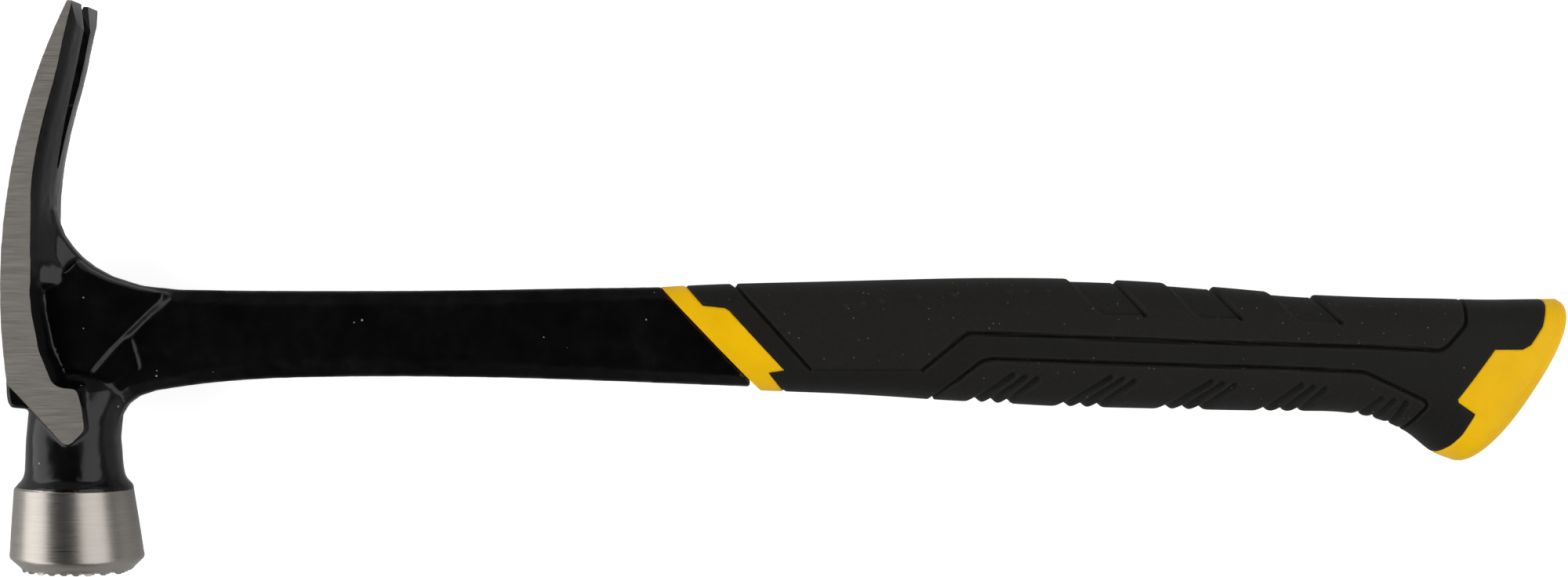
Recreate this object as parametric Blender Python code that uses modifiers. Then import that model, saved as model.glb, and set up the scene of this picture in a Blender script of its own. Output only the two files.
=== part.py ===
"""One-piece forged framing hammer with a straight rip claw and an over-moulded grip, lying on its side.

The hammer is drawn on its mid-plane: X runs from the head to the butt, Y towards the claw, Z through the
thickness. Grip positions are measured from the top front corner of the collar and head positions from the
axis of the poll, both along X. Y = 0 is the claw-side edge of the shank. All sizes are in millimetres.
"""

import math

import bmesh
import bpy
from mathutils import Matrix, Vector

MM = 0.001
GAP = 0.3  # clearance between two pieces that touch

# Overall
SHANK_LENGTH = 149.1  # poll axis to the collar's top front corner
GRIP_LENGTH = 231.0  # collar's top front corner to the end of the butt

# Forging
HEAD_HALF_WIDTH = 12.0  # mid-plane to the ground sides of crown and claw
CLAW_TIP_HALF_WIDTH = 11.6
CLAW_TIP_Y = 72.5
CROWN_X = -15.8  # crown's highest line, from the poll axis
CROWN_RADIUS = 165.0  # the long arc of crown and claw back
SLOT_TIP_HALF = 2.95
SLOT_MIDDLE_HALF = 2.75
SLOT_END_HALF = 0.8
SLOT_LENGTH = 41.5
SHANK_HALF_THICKNESS = 4.5
SHANK_EDGE_HALF = 2.0
CHEEK_STEP = 1.7  # how far the cheek stands above the flat of the shank
COLLAR_GAP = 0.4  # open joint between the shank's end and the collar
SHANK_CORNER = 0.9  # share of the collar's front that the shank's end follows
POLL_RADIUS = 16.6
POLL_TAPER = 2.0  # how much smaller the poll is at its shoulder
POLL_LENGTH = 17.6  # shoulder to rim
POLL_RIM_Y = -68.2
POLL_LEAN = math.radians(2.8)  # the poll's axis leans back towards the handle on the way down
FACE_LEAN = math.radians(1.0)  # the struck face is turned a little the other way
FACE_RADIUS = 14.0
TOOTH_PITCH = 3.0
TOOTH_DEPTH = 1.1
TOOTH_TOP = 0.5
TOOTH_VALLEY = 0.3
NECK_HALF_THICKNESS = 11.4
TANG_STEP = 1.2  # the tang is thinner than the shank on each side
FORK_SLOT = 5.0

# Nail holder in the crown
HOLDER_HALF_WIDTH = 7.0
NAIL_GROOVE_RADIUS = 2.2
MAGNET_RADIUS = 3.2
MAGNET_THICKNESS = 3.0

# Grip
COLLAR_HALF_THICKNESS = 8.6
GRIP_HALF_THICKNESS = 12.5
BUTT_HALF_THICKNESS = 13.3
COVER_WALL = 3.6  # rubber over the core
PAD_DEPTH = 1.6
CAP_SPIGOT = 12.0
BUTT_BULGE = 7.5  # how far the rounded end stands beyond its rim
BUTT_LEAN = 0.16  # how much of that goes towards the back of the hand
RIB_DEPTH = 0.9
RECESS_DEPTH = 0.7

RING_POINTS = 28
FORK_START = 37.0  # per cent of the grip
TANG_END = 69.0

# The grip's sections lean with its ends: per cent of the length and height of the back line, then of the
# belly line, and how much of the way from collar to full thickness.
GRIP_SECTIONS = (
    (0.0, 0.4, 11.0, -26.0, 0.0),
    (5.0, 1.0, 15.3, -26.4, 0.28),
    (10.5, 1.4, 19.8, -26.8, 0.55),
    (18.0, 1.8, 25.0, -27.5, 0.82),
    (26.5, 2.3, 30.8, -28.4, 0.96),
    (35.0, 2.7, 37.4, -29.2, 1.0),
    (43.8, 2.6, 43.8, -30.0, 1.0),
    (52.5, 1.9, 52.5, -30.5, 1.0),
    (61.2, 0.4, 60.3, -30.9, 1.0),
    (69.8, -1.3, 68.0, -31.2, 1.0),
    (78.5, -2.2, 74.5, -31.4, 1.0),
    (85.0, -2.5, 78.8, -33.1, 1.0),
    (90.6, -2.6, 82.2, -36.4, 1.0),
    (95.0, -2.6, 85.1, -41.2, 1.0),
    (98.5, -2.8, 87.4, -43.7, 1.0),
)

# Seams seen from the side: per cent of the grip's length, and height.
COLLAR_SEAM = (
    (1.6, 4.0),
    (2.6, 1.0),
    (4.7, -4.3),
    (7.1, -4.9),
    (7.6, -5.6),
    (13.6, -20.6),
    (11.9, -21.3),
    (13.5, -26.2),
    (15.0, -31.0),
)
BUTT_SEAM = (
    (97.3, 2.0),
    (97.0, -2.4),
    (96.2, -4.3),
    (95.5, -9.6),
    (94.2, -14.7),
    (93.7, -15.3),
    (90.5, -15.3),
    (86.5, -27.8),
    (86.6, -28.6),
    (88.4, -31.5),
    (88.3, -32.1),
    (86.7, -37.6),
    (84.7, -40.3),
    (80.0, -48.0),
)
PALM_PAD = (
    (5.2, 6.0),
    (8.3, 0.8),
    (16.4, -20.5),
    (28.6, -20.6),
    (33.4, -11.1),
    (34.6, -11.1),
    (56.1, -13.2),
    (76.5, -14.5),
    (84.6, -15.5),
    (85.5, -14.1),
    (87.6, -8.8),
    (88.0, -3.0),
    (88.4, 6.0),
)
FINGER_PAD = (
    (27.6, -34.0),
    (29.8, -28.0),
    (35.1, -18.1),
    (36.2, -17.7),
    (49.3, -18.8),
    (68.0, -20.0),
    (76.4, -21.0),
    (83.0, -28.2),
    (83.4, -29.5),
    (81.9, -34.2),
    (80.4, -40.0),
)
# Lower and upper ends of the first rib of each group on the finger pad.
RIB_GROUPS = (
    (34.2, -29.2, 38.4, -22.0),
    (44.2, -30.0, 49.0, -22.5),
    (55.4, -30.6, 59.9, -23.7),
    (66.2, -31.1, 69.7, -24.6),
    (76.8, -31.8, 78.5, -28.0),
)
RIB_PITCH = 1.9  # per cent
RIBS_IN_GROUP = 3
RIB_REACH = 1.5  # the grooves run out past the belly line
# Front top, front bottom, back bottom and back top of each shallow recess in the palm pad.
RECESSES = (
    ((44.0, 4.4), (48.0, -6.6), (52.7, -6.6), (49.2, 4.2)),
    ((54.6, 3.4), (58.6, -7.4), (63.1, -7.4), (59.7, 2.8)),
    ((65.8, 1.6), (69.4, -8.2), (74.0, -8.4), (70.8, 0.8)),
)

parts = None
cutters = None


# Small geometry


def along(percent):
    """A position along the grip."""
    return GRIP_LENGTH * percent / 100


def head(x):
    """A position measured from the poll's axis."""
    return x - SHANK_LENGTH


def side_points(seam):
    return [Vector((along(p), y)) for p, y in seam]


def head_points(points):
    return [Vector((head(x), y)) for x, y in points]


def turned_normal(a, b):
    """The unit normal to the right of the way from a to b."""
    step = (b - a).normalized()
    return Vector((step.y, -step.x))


def area(outline):
    return sum(a.x * b.y - b.x * a.y for a, b in zip(outline, outline[1:] + outline[:1])) / 2


def grown(outline, distance):
    """A closed outline moved outwards everywhere by distance, with mitred corners."""
    outward = 1 if area(outline) > 0 else -1
    moved = []
    for i, point in enumerate(outline):
        before = turned_normal(outline[i - 1], point) * outward
        after = turned_normal(point, outline[(i + 1) % len(outline)]) * outward
        corner = before + after
        moved.append(point + corner * (2 * distance / max(corner.length_squared, 1.0)))
    return moved


def rounded(outline, radius, steps=3):
    """The outline with each corner cut by a short arc-like run of points."""
    made = []
    for i, point in enumerate(outline):
        back = outline[i - 1] - point
        ahead = outline[(i + 1) % len(outline)] - point
        reach = min(radius, back.length * 0.45, ahead.length * 0.45)
        start = point + back.normalized() * reach
        end = point + ahead.normalized() * reach
        for k in range(steps + 1):
            t = k / steps
            made.append(start * (1 - t) ** 2 + point * 2 * t * (1 - t) + end * t * t)
    return made


def crown_x(y):
    """The long arc of the crown and the back of the claw."""
    return head(CROWN_X) + CROWN_RADIUS - math.sqrt(CROWN_RADIUS**2 - y * y)


def between(table, value):
    """Smooth interpolation of each column of a table of hand-set rows, by its first column."""
    rows = sorted(table)
    if value <= rows[0][0]:
        return rows[0][1:]
    if value >= rows[-1][0]:
        return rows[-1][1:]
    i = max(k for k, row in enumerate(rows[:-1]) if row[0] <= value)
    a, b = rows[i], rows[i + 1]
    before, after = rows[max(i - 1, 0)], rows[min(i + 2, len(rows) - 1)]
    span = b[0] - a[0]
    t = (value - a[0]) / span
    found = []
    for c in range(1, len(a)):
        slope_a = (b[c] - before[c]) / (b[0] - before[0]) * span
        slope_b = (after[c] - a[c]) / (after[0] - a[0]) * span
        found.append(
            (2 * t**3 - 3 * t**2 + 1) * a[c]
            + (t**3 - 2 * t**2 + t) * slope_a
            + (3 * t**2 - 2 * t**3) * b[c]
            + (t**3 - t**2) * slope_b
        )
    return found


# Objects


def material(name, colour, roughness, metallic):
    made = bpy.data.materials.new(name)
    made.use_nodes = True
    shader = made.node_tree.nodes["Principled BSDF"]
    shader.inputs["Base Color"].default_value = (*colour, 1)
    shader.inputs["Roughness"].default_value = roughness
    shader.inputs["Metallic"].default_value = metallic
    return made


def place(name, mesh):
    made = bpy.data.objects.new(name, mesh)
    parts.objects.link(made)
    return made


def skin(name, rings):
    """A closed solid through rings that all have the same number of points."""
    bm = bmesh.new()
    loops = [[bm.verts.new(Vector(p) * MM) for p in ring] for ring in rings]
    count = len(loops[0])
    for near, far in zip(loops, loops[1:]):
        for i in range(count):
            j = (i + 1) % count
            bm.faces.new((near[i], near[j], far[j], far[i]))
    bm.faces.new(loops[0][::-1])
    bm.faces.new(loops[-1])
    bmesh.ops.recalc_face_normals(bm, faces=bm.faces)
    mesh = bpy.data.meshes.new(name)
    bm.to_mesh(mesh)
    bm.free()
    return place(name, mesh)


def prism(name, outline, half):
    """A flat outline on the mid-plane with its thickness on both sides."""
    curve = bpy.data.curves.new(name, "CURVE")
    curve.dimensions = "2D"
    curve.fill_mode = "BOTH"
    curve.extrude = half * MM
    spline = curve.splines.new("POLY")
    spline.points.add(len(outline) - 1)
    for point, at in zip(spline.points, outline):
        point.co = (at.x * MM, at.y * MM, 0, 1)
    spline.use_cyclic_u = True
    drawn = place(name + "_outline", curve)
    mesh = bpy.data.meshes.new_from_object(drawn.evaluated_get(bpy.context.evaluated_depsgraph_get()))
    made = place(name, mesh)
    made.matrix_world = drawn.matrix_world
    bpy.data.objects.remove(drawn)
    bm = bmesh.new()
    bm.from_mesh(mesh)
    bmesh.ops.remove_doubles(bm, verts=bm.verts, dist=0.00001)
    bmesh.ops.recalc_face_normals(bm, faces=bm.faces)
    bm.to_mesh(mesh)
    bm.free()
    return made


def drafted(name, outline, edge_half, flat_half, draft, soft=0.0):
    """A forged plate: its full outline as far as edge_half, then sloping in by draft to flat_half."""
    inner = grown(outline, -draft)
    if soft:
        outline = rounded(outline, soft, 2)
        inner = rounded(inner, soft, 2)
    levels = ((inner, -flat_half), (outline, -edge_half), (outline, edge_half), (inner, flat_half))
    return skin(name, [[(p.x, p.y, z) for p in ring] for ring, z in levels])


def apply_modifiers(target):
    graph = bpy.context.evaluated_depsgraph_get()
    mesh = bpy.data.meshes.new_from_object(target.evaluated_get(graph))
    target.modifiers.clear()
    target.data = mesh
    target.data.transform(target.matrix_world)
    target.matrix_world = Matrix()


def combine(target, tool, operation):
    """Joins, cuts or trims target with a solid that is not needed again."""
    step = target.modifiers.new(operation.lower(), "BOOLEAN")
    step.operation = operation
    step.object = tool
    step.solver = "EXACT"
    bpy.context.view_layer.update()
    apply_modifiers(target)
    bpy.data.objects.remove(tool)
    return target


def cut_later(target, cutter):
    """Keeps a cut live on the piece, with its cutter in the cutters' collection."""
    parts.objects.unlink(cutter)
    cutters.objects.link(cutter)
    cutter.hide_render = True
    cutter.display_type = "WIRE"
    step = target.modifiers.new("cut_" + cutter.name, "BOOLEAN")
    step.operation = "DIFFERENCE"
    step.object = cutter
    step.solver = "EXACT"


def cylinder(name, radius, length, centre, axis, sides=32):
    bm = bmesh.new()
    bmesh.ops.create_cone(
        bm, cap_ends=True, segments=sides, radius1=radius * MM, radius2=radius * MM, depth=length * MM
    )
    mesh = bpy.data.meshes.new(name)
    bm.to_mesh(mesh)
    bm.free()
    made = place(name, mesh)
    made.rotation_euler = Vector((0, 0, 1)).rotation_difference(Vector(axis)).to_euler()
    made.location = Vector(centre) * MM
    bpy.context.view_layer.update()
    return made


def finish(piece, finish_material, sharp=30):
    piece.data.materials.clear()
    piece.data.materials.append(finish_material)
    piece.data.shade_smooth()
    piece.data.set_sharp_from_angle(angle=math.radians(sharp))


# Forging

# Height, then the claw's ground edge and its middle crest, from the poll axis.
CLAW_INNER = (
    (0.0, -8.3, 6.0),
    (4.5, -8.3, 5.8),
    (8.0, -8.3, 1.6),
    (13.0, -8.3, -2.6),
    (20.8, -8.3, -5.4),
    (31.4, -7.1, -4.2),
    (44.5, -4.5, -1.6),
    (54.4, -1.9, 0.6),
    (66.1, 0.7, 3.1),
    (75.0, 2.7, 5.0),
)
# The back of the head where claw and shank meet, then along to the shank, from the poll axis.
UPPER_FILLET = (
    (-5.4, 20.0),
    (-4.7, 17.0),
    (-3.3, 13.6),
    (-0.9, 10.3),
    (1.3, 8.0),
    (4.3, 5.6),
    (9.0, 3.1),
    (16.5, 0.7),
    (25.0, -0.2),
    (31.0, -0.5),
)
LOWER_FILLET = (
    (31.0, -24.4),
    (25.4, -25.2),
    (20.4, -26.0),
    (16.0, -27.4),
    (13.0, -29.6),
    (11.4, -32.4),
    (10.8, -36.0),
)
# The ground side of the crown below the claw, down to its point on the neck.
CROWN_SIDE = (
    (-8.1, 23.0),
    (-8.3, 10.0),
    (-8.5, 0.0),
    (-7.9, -6.3),
    (-7.1, -9.8),
    (-6.1, -15.5),
    (-4.5, -19.4),
    (-2.8, -23.7),
    (-0.5, -25.0),
    (3.3, -25.1),
    (4.6, -29.4),
    (5.4, -35.7),
    (1.8, -39.0),
    (1.0, -39.2),
    (-0.2, -38.6),
    (-14.3, -23.9),
    (-20.0, -18.0),
    (-20.0, 23.0),
)
# Where the crown is trimmed: straight down the crown and along the slant above the neck.
CROWN_FOOT_Y = -23.9
CROWN_WALL = 2.2  # how far the crown's walls run out on the way down to the web
CHEEK = (
    (-5.5, 1.0),
    (1.6, 7.9),
    (4.6, 5.5),
    (9.2, 2.9),
    (16.6, 0.5),
    (23.6, -0.5),
    (25.2, -1.6),
    (8.4, -21.6),
    (-2.0, -22.8),
    (-6.0, -12.0),
)
CHEEK_DRAFT = 1.2


def claw_ring(y):
    edge, crest = between(CLAW_INNER, y)
    share = max(0.0, min(1.0, y / CLAW_TIP_Y))
    half = HEAD_HALF_WIDTH + (CLAW_TIP_HALF_WIDTH - HEAD_HALF_WIDTH) * share
    back = crown_x(y)
    return [
        (back, y, -half),
        (head(edge), y, -half),
        (head(crest), y, 0.0),
        (head(edge), y, half),
        (back, y, half),
    ]


def claw():
    """Both tines in one piece, a low ridge on the inner side and a bevelled tip."""
    heights = [1.0, 4.5, 8.0, 11.0, 14.0, 18.0, 23.0, 29.0, 36.0, 44.0, 52.0, 60.0, 67.0, CLAW_TIP_Y]
    made = skin("claw", [claw_ring(y) for y in heights])
    tip = CLAW_TIP_Y
    bevel = [(1.9, tip + 0.5), (2.6, tip - 6.5), (3.2, tip - 8.0), (9.0, tip - 8.0), (9.0, tip + 0.5)]
    combine(made, prism("tip_bevel", head_points(bevel), HEAD_HALF_WIDTH + 5), "DIFFERENCE")
    return made


def crown():
    """The thick band under the ground sides, its walls running down to the cheek."""
    foot = grown(head_points(CROWN_SIDE), CROWN_WALL)
    made = drafted("crown", foot, SHANK_HALF_THICKNESS - 0.6, HEAD_HALF_WIDTH, CROWN_WALL, 1.8)
    arc = [Vector((crown_x(y), y)) for y in (30, 24, 18, 12, 6, 0, -6, -12, -18, CROWN_FOOT_Y)]
    slant = head_points([(-0.2, -38.6), (2.0, -42.0), (2.0, -60.0), (-60.0, -60.0), (-60.0, 30.0)])
    combine(made, prism("crown_trim", arc + slant, HEAD_HALF_WIDTH + 5), "DIFFERENCE")
    return made


def root_plate():
    """The web that carries both fillets from the head into the shank."""
    inner = [(-11.0, -36.0), (-13.5, 0.0), (-13.0, 20.0)]
    outline = head_points(UPPER_FILLET + LOWER_FILLET + tuple(inner))
    return drafted("root", outline, SHANK_EDGE_HALF, SHANK_HALF_THICKNESS, 3.0)


def cheek():
    top = SHANK_HALF_THICKNESS + CHEEK_STEP
    return drafted("cheek", head_points(CHEEK), SHANK_EDGE_HALF, top, CHEEK_DRAFT, 1.5)


def neck():
    """A rounded square block from the head down to the poll's shoulder."""
    rows = ((-20.0, -0.6, 10.0), (-28.0, -0.7, 10.7), (-36.0, -0.7, 11.2), (-44.0, -0.5, 11.8), (-49.0, -0.3, 12.3))
    rings = []
    for y, centre, half in rows:
        ring = []
        for k in range(RING_POINTS):
            a = 2 * math.pi * k / RING_POINTS
            x = math.copysign(abs(math.cos(a)) ** 0.7, math.cos(a)) * half
            z = math.copysign(abs(math.sin(a)) ** 0.7, math.sin(a)) * NECK_HALF_THICKNESS
            ring.append((head(centre + x), y, z))
        rings.append(ring)
    return skin("neck", rings)


def poll_frame():
    """Where the poll's own axes stand: local Z runs up its axis and local X along its face."""
    along_face = Vector((math.cos(FACE_LEAN), -math.sin(FACE_LEAN), 0))
    up = Vector((-math.sin(POLL_LEAN), math.cos(POLL_LEAN), 0))
    turn = Matrix((along_face, Vector((0, 0, -1)), up)).transposed().to_4x4()
    return Matrix.Translation(Vector((head(0.2), POLL_RIM_Y, 0)) * MM) @ turn


def poll():
    """The turned striking end, spun from its profile; the rim is at local zero."""
    shoulder = POLL_RADIUS - POLL_TAPER
    face = FACE_RADIUS - POLL_RADIUS
    profile = [
        (0.001, POLL_LENGTH + 4.0),
        (shoulder - 2.8, POLL_LENGTH + 3.6),
        (shoulder - 1.9, POLL_LENGTH + 2.2),
        (shoulder - 0.4, POLL_LENGTH + 0.8),
        (shoulder, POLL_LENGTH),
        (POLL_RADIUS, 0.2),
        (POLL_RADIUS, -0.2),
        (FACE_RADIUS, face),
        (FACE_RADIUS - 0.4, face - TOOTH_DEPTH),
        (0.001, face - TOOTH_DEPTH - 0.2),
    ]
    bm = bmesh.new()
    points = [bm.verts.new((r * MM, 0, z * MM)) for r, z in profile]
    for a, b in zip(points, points[1:]):
        bm.edges.new((a, b))
    mesh = bpy.data.meshes.new("poll")
    bm.to_mesh(mesh)
    bm.free()
    made = place("poll", mesh)
    spin = made.modifiers.new("turned", "SCREW")
    spin.axis = "Z"
    spin.steps = 56
    spin.render_steps = 56
    spin.use_merge_vertices = True
    spin.merge_threshold = 0.00001
    made.matrix_world = poll_frame()
    bpy.context.view_layer.update()
    apply_modifiers(made)
    return made


def tooth_comb(name, quarter, lift):
    """A row of blunt ridges that cuts the grooves of the milled face in one direction."""
    face = FACE_RADIUS - POLL_RADIUS
    valley = face - lift
    ground = face - TOOTH_DEPTH - 3.0
    half_open = (TOOTH_PITCH - TOOTH_TOP) / 2
    half_floor = TOOTH_VALLEY / 2
    mouth = face - TOOTH_DEPTH - 0.3
    count = int(FACE_RADIUS / TOOTH_PITCH) + 1
    points = []
    for k in range(-count, count + 1):
        centre = (k + 0.5) * TOOTH_PITCH
        points += [(centre - half_open, mouth), (centre - half_floor, valley)]
        points += [(centre + half_floor, valley), (centre + half_open, mouth)]
    points += [(points[-1][0], ground), (points[0][0], ground)]
    made = prism(name, [Vector(p) for p in points], POLL_RADIUS + 3)
    stand = Matrix.Rotation(quarter, 4, "Z") @ Matrix.Rotation(math.pi / 2, 4, "X")
    made.matrix_world = poll_frame() @ stand
    return made


def nail_holder():
    outline = [(-16.1, -18.0), (-16.2, -24.0), (-15.8, -28.7), (-14.9, -30.2), (-10.0, -30.6), (-8.0, -18.0)]
    return drafted("holder", head_points(outline), HOLDER_HALF_WIDTH - 0.8, HOLDER_HALF_WIDTH, 0.5)


def shank():
    """The bare run of the handle: a flat with sloping margins, ending on the slant of the collar."""
    start = head(27.0)
    run = -0.5 - start
    rows = (
        # share of the run and height along the back, then along the belly, then the lower margin
        (0.0, -0.3, 0.0, -24.9, 3.6),
        (0.09, -0.5, 0.09, -23.7, 4.4),
        (0.21, -0.6, 0.21, -22.8, 5.0),
        (0.42, -0.6, 0.42, -22.4, 5.1),
        (0.62, -0.4, 0.66, -22.7, 4.8),
        (0.80, 0.0, 0.90, -23.6, 4.5),
        (1.03, 0.35, 1.21, -25.1, 4.3),
    )
    rings = []
    for top_share, top, low_share, low, margin in rows:
        back = Vector((start + run * top_share, top))
        belly = Vector((start + run * low_share, low))
        depth = (belly - back).length
        marks = (
            (0.0, SHANK_EDGE_HALF),
            (3.8 / depth, SHANK_HALF_THICKNESS),
            (1 - margin / depth, SHANK_HALF_THICKNESS),
            (1.0, SHANK_EDGE_HALF),
        )
        side = [(back.lerp(belly, t), z) for t, z in marks]
        ring = [(p.x, p.y, z) for p, z in side] + [(p.x, p.y, -z) for p, z in reversed(side)]
        rings.append(ring)
    made = skin("shank", rings)
    top_at, top, low_at, low, _ = GRIP_SECTIONS[0]
    collar_top = Vector((along(top_at), top))
    collar_low = Vector((along(low_at), low))
    step_back = turned_normal(collar_top, collar_low) * COLLAR_GAP
    upper = collar_top.lerp(collar_low, -0.3) + step_back
    lower = collar_top.lerp(collar_low, SHANK_CORNER) + step_back
    beyond = [Vector((lower.x, low - 5)), Vector((low_at + 60, low - 5)), Vector((low_at + 60, upper.y))]
    combine(made, prism("collar_end", [upper, lower] + beyond, HEAD_HALF_WIDTH), "DIFFERENCE")
    return made


TANG_ROWS = (
    # per cent of the grip, upper edge, lower edge
    (-6.0, -6.0, -18.5),
    (9.0, -5.5, -19.5),
    (30.0, -5.2, -21.2),
    (56.0, -6.8, -22.0),
    (TANG_END, -8.4, -23.0),
)


def tang_middle(percent):
    top, low = between(TANG_ROWS, percent)
    return (top + low) / 2


def tang(clear):
    """The steel inside the grip, or with a clearance the room for it in the core."""
    half = SHANK_HALF_THICKNESS - TANG_STEP + clear
    corner = 1.0
    rings = []
    for percent, top, low in TANG_ROWS:
        x = along(percent) + (clear if percent == TANG_END else 0)
        high, deep = top + clear, low - clear
        side = [(high, half - corner), (high - corner, half), (deep + corner, half), (deep, half - corner)]
        rings.append([(x, y, z) for y, z in side] + [(x, y, -z) for y, z in reversed(side)])
    return skin("tang", rings)


def fork_outline(inset):
    """The gap of the fork, closed in front by a round and running out at the back."""
    half = FORK_SLOT / 2 - inset
    front = along(FORK_START)
    spots = (FORK_START + 2, 56.0, TANG_END)
    upper = [Vector((along(p), tang_middle(p) + half)) for p in spots]
    lower = [Vector((along(p), tang_middle(p) - half)) for p in spots]
    middle = Vector((along(FORK_START + 2), tang_middle(FORK_START + 2)))
    nose = []
    for k in range(1, 8):
        a = math.pi / 2 + math.pi * k / 8
        nose.append(middle + Vector((math.cos(a) * (middle.x - front - inset), math.sin(a) * half)))
    return upper[::-1] + nose + lower


def forged_body():
    body = root_plate()
    for piece in (crown(), cheek(), claw(), neck(), poll(), nail_holder(), shank(), tang(0)):
        combine(body, piece, "UNION")
    gap_outline = fork_outline(0)
    gap_outline[0].x += 5
    gap_outline[-1].x += 5
    combine(body, prism("fork_gap", gap_outline, HEAD_HALF_WIDTH), "DIFFERENCE")
    body.name = "forged_body"

    low = CLAW_TIP_Y - SLOT_LENGTH
    half_slot = [(0.0, low - 0.6), (SLOT_END_HALF, low + 0.6), (SLOT_MIDDLE_HALF, CLAW_TIP_Y - 20)]
    half_slot.append((SLOT_TIP_HALF, CLAW_TIP_Y + 2))
    slot_outline = [Vector(p) for p in half_slot] + [Vector((-p[0], p[1])) for p in half_slot[:0:-1]]
    slot = prism("claw_slot", slot_outline, 15)
    slot.rotation_euler = (0, math.pi / 2, 0)
    slot.location.x = head(0) * MM
    cut_later(body, slot)

    crown_face = head(CROWN_X) * MM
    groove = cylinder(
        "nail_groove",
        NAIL_GROOVE_RADIUS,
        30,
        (head(CROWN_X - 0.3), -21.0, 0),
        (0, 1, 0),
        20,
    )
    cut_later(body, groove)
    depth = NAIL_GROOVE_RADIUS + MAGNET_THICKNESS + GAP
    seat = cylinder(
        "magnet_seat",
        MAGNET_RADIUS + GAP,
        2 * depth,
        (crown_face / MM, magnet_y(), 0),
        (1, 0, 0),
        28,
    )
    cut_later(body, seat)
    cut_later(body, tooth_comb("teeth_across", 0, 0.1))
    cut_later(body, tooth_comb("teeth_along", math.pi / 2, 0.2))
    return body


def magnet_y():
    """The magnet sits under the shank of a nail laid in the groove."""
    return CROWN_FOOT_Y + MAGNET_RADIUS + 2.5


def nail_magnet():
    near = head(CROWN_X) + NAIL_GROOVE_RADIUS
    return cylinder(
        "nail_magnet",
        MAGNET_RADIUS,
        MAGNET_THICKNESS,
        (near + MAGNET_THICKNESS / 2, magnet_y(), 0),
        (1, 0, 0),
        28,
    )


def fork_damper():
    made = prism("fork_damper", fork_outline(GAP), SHANK_HALF_THICKNESS - TANG_STEP)
    return made


# Grip


def grip_ring(back, belly, half, scale=1.0, push=0.0):
    """One leaning section: an oval between the back line and the belly line."""
    centre = (back + belly) / 2
    reach = (back - belly) / 2
    out = (Vector((reach.y, -reach.x)) + reach * BUTT_LEAN).normalized() * push
    ring = []
    for k in range(RING_POINTS):
        a = 2 * math.pi * k / RING_POINTS
        deep = math.copysign(abs(math.cos(a)) ** 0.86, math.cos(a)) * scale
        wide = math.copysign(abs(math.sin(a)) ** 0.86, math.sin(a)) * scale
        p = centre + reach * deep + out
        ring.append((p.x, p.y, half * wide))
    return ring


def grip_blank(name, inset, first=0, last=None):
    """The whole handle's outer form, or that form inset for what lies beneath."""
    rows = GRIP_SECTIONS[first:last]
    rings = []
    for i, (top_at, top, low_at, low, fullness) in enumerate(rows):
        back = Vector((along(top_at), top))
        belly = Vector((along(low_at), low))
        draw = (belly - back).normalized() * inset
        half = COLLAR_HALF_THICKNESS + (GRIP_HALF_THICKNESS - COLLAR_HALF_THICKNESS) * fullness
        flare = max(0.0, (top_at - 80) / 18)
        half += (BUTT_HALF_THICKNESS - GRIP_HALF_THICKNESS) * min(flare, 1.0) - inset
        start = inset * 0.5 if i == 0 and first == 0 else 0.0
        rings.append(grip_ring(back + draw, belly - draw, half, 1.0, start))
    if last is None:
        bulge = BUTT_BULGE - inset
        for share in (0.3, 0.55, 0.75, 0.9, 0.97, 1.0):
            scale = (1 - share**2.6) ** (1 / 2.6) if share < 1 else 0.18
            rings.append(grip_ring(back + draw, belly - draw, half, max(scale, 0.18), bulge * share))
    return skin(name, rings)


def collar_region(growth):
    seam = side_points(COLLAR_SEAM)
    return grown(seam + [Vector((-30, -40)), Vector((-30, 14))], growth)


def butt_region(growth):
    seam = side_points(BUTT_SEAM)
    end = GRIP_LENGTH + 20
    return grown(seam + [Vector((end, -60)), Vector((end, 12))], growth)


def pad_region(outline, growth):
    return grown(rounded(side_points(outline), 1.2, 2), growth)


def slab(name, outline):
    return prism(name, outline, BUTT_HALF_THICKNESS + 8)


def under_skin(name, outline, growth, depth, lift):
    """What lies within an outline between the surface, raised by lift, and depth below it."""
    made = grip_blank(name, -lift)
    combine(made, grip_blank("below", depth), "DIFFERENCE")
    combine(made, slab("within", pad_region(outline, growth)), "INTERSECT")
    return made


def grip_core():
    """The rigid sleeve on the tang, reaching the surface as the collar in front."""
    core = grip_blank("grip_core", 0)
    combine(core, slab("collar", collar_region(-GAP / 2)), "INTERSECT")
    inner = grip_blank("inner", COVER_WALL, 0, 12)
    combine(core, inner, "UNION")
    combine(core, tang(GAP), "DIFFERENCE")
    return core


def butt_cap():
    """The hooked end of the handle with a spigot that plugs the cover behind the core."""
    cap = grip_blank("butt_cap", 0)
    combine(cap, slab("butt", butt_region(-GAP / 2)), "INTERSECT")
    spigot = grip_blank("spigot", COVER_WALL, 11)
    rear = GRIP_SECTIONS[11]
    lean = Vector((along(rear[0] - rear[2]), rear[1] - rear[3])).normalized()
    top = Vector((along(rear[0]), rear[1])) + Vector((GAP, 0))
    low = top - lean * 60
    box = [top + lean * 30, low, low + Vector((CAP_SPIGOT + 60, 0)), top + lean * 30 + Vector((60, 0))]
    combine(spigot, slab("spigot_end", box), "INTERSECT")
    combine(cap, spigot, "UNION")
    return cap


def grip_cover():
    cover = grip_blank("grip_cover", 0)
    combine(cover, slab("collar", collar_region(GAP / 2)), "DIFFERENCE")
    combine(cover, slab("butt", butt_region(GAP / 2)), "DIFFERENCE")
    combine(cover, grip_blank("bore", COVER_WALL - GAP), "DIFFERENCE")
    for outline in (PALM_PAD, FINGER_PAD):
        pocket = under_skin("pocket", outline, GAP, PAD_DEPTH + GAP, 3.0)
        combine(cover, pocket, "DIFFERENCE")
    return cover


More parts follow.
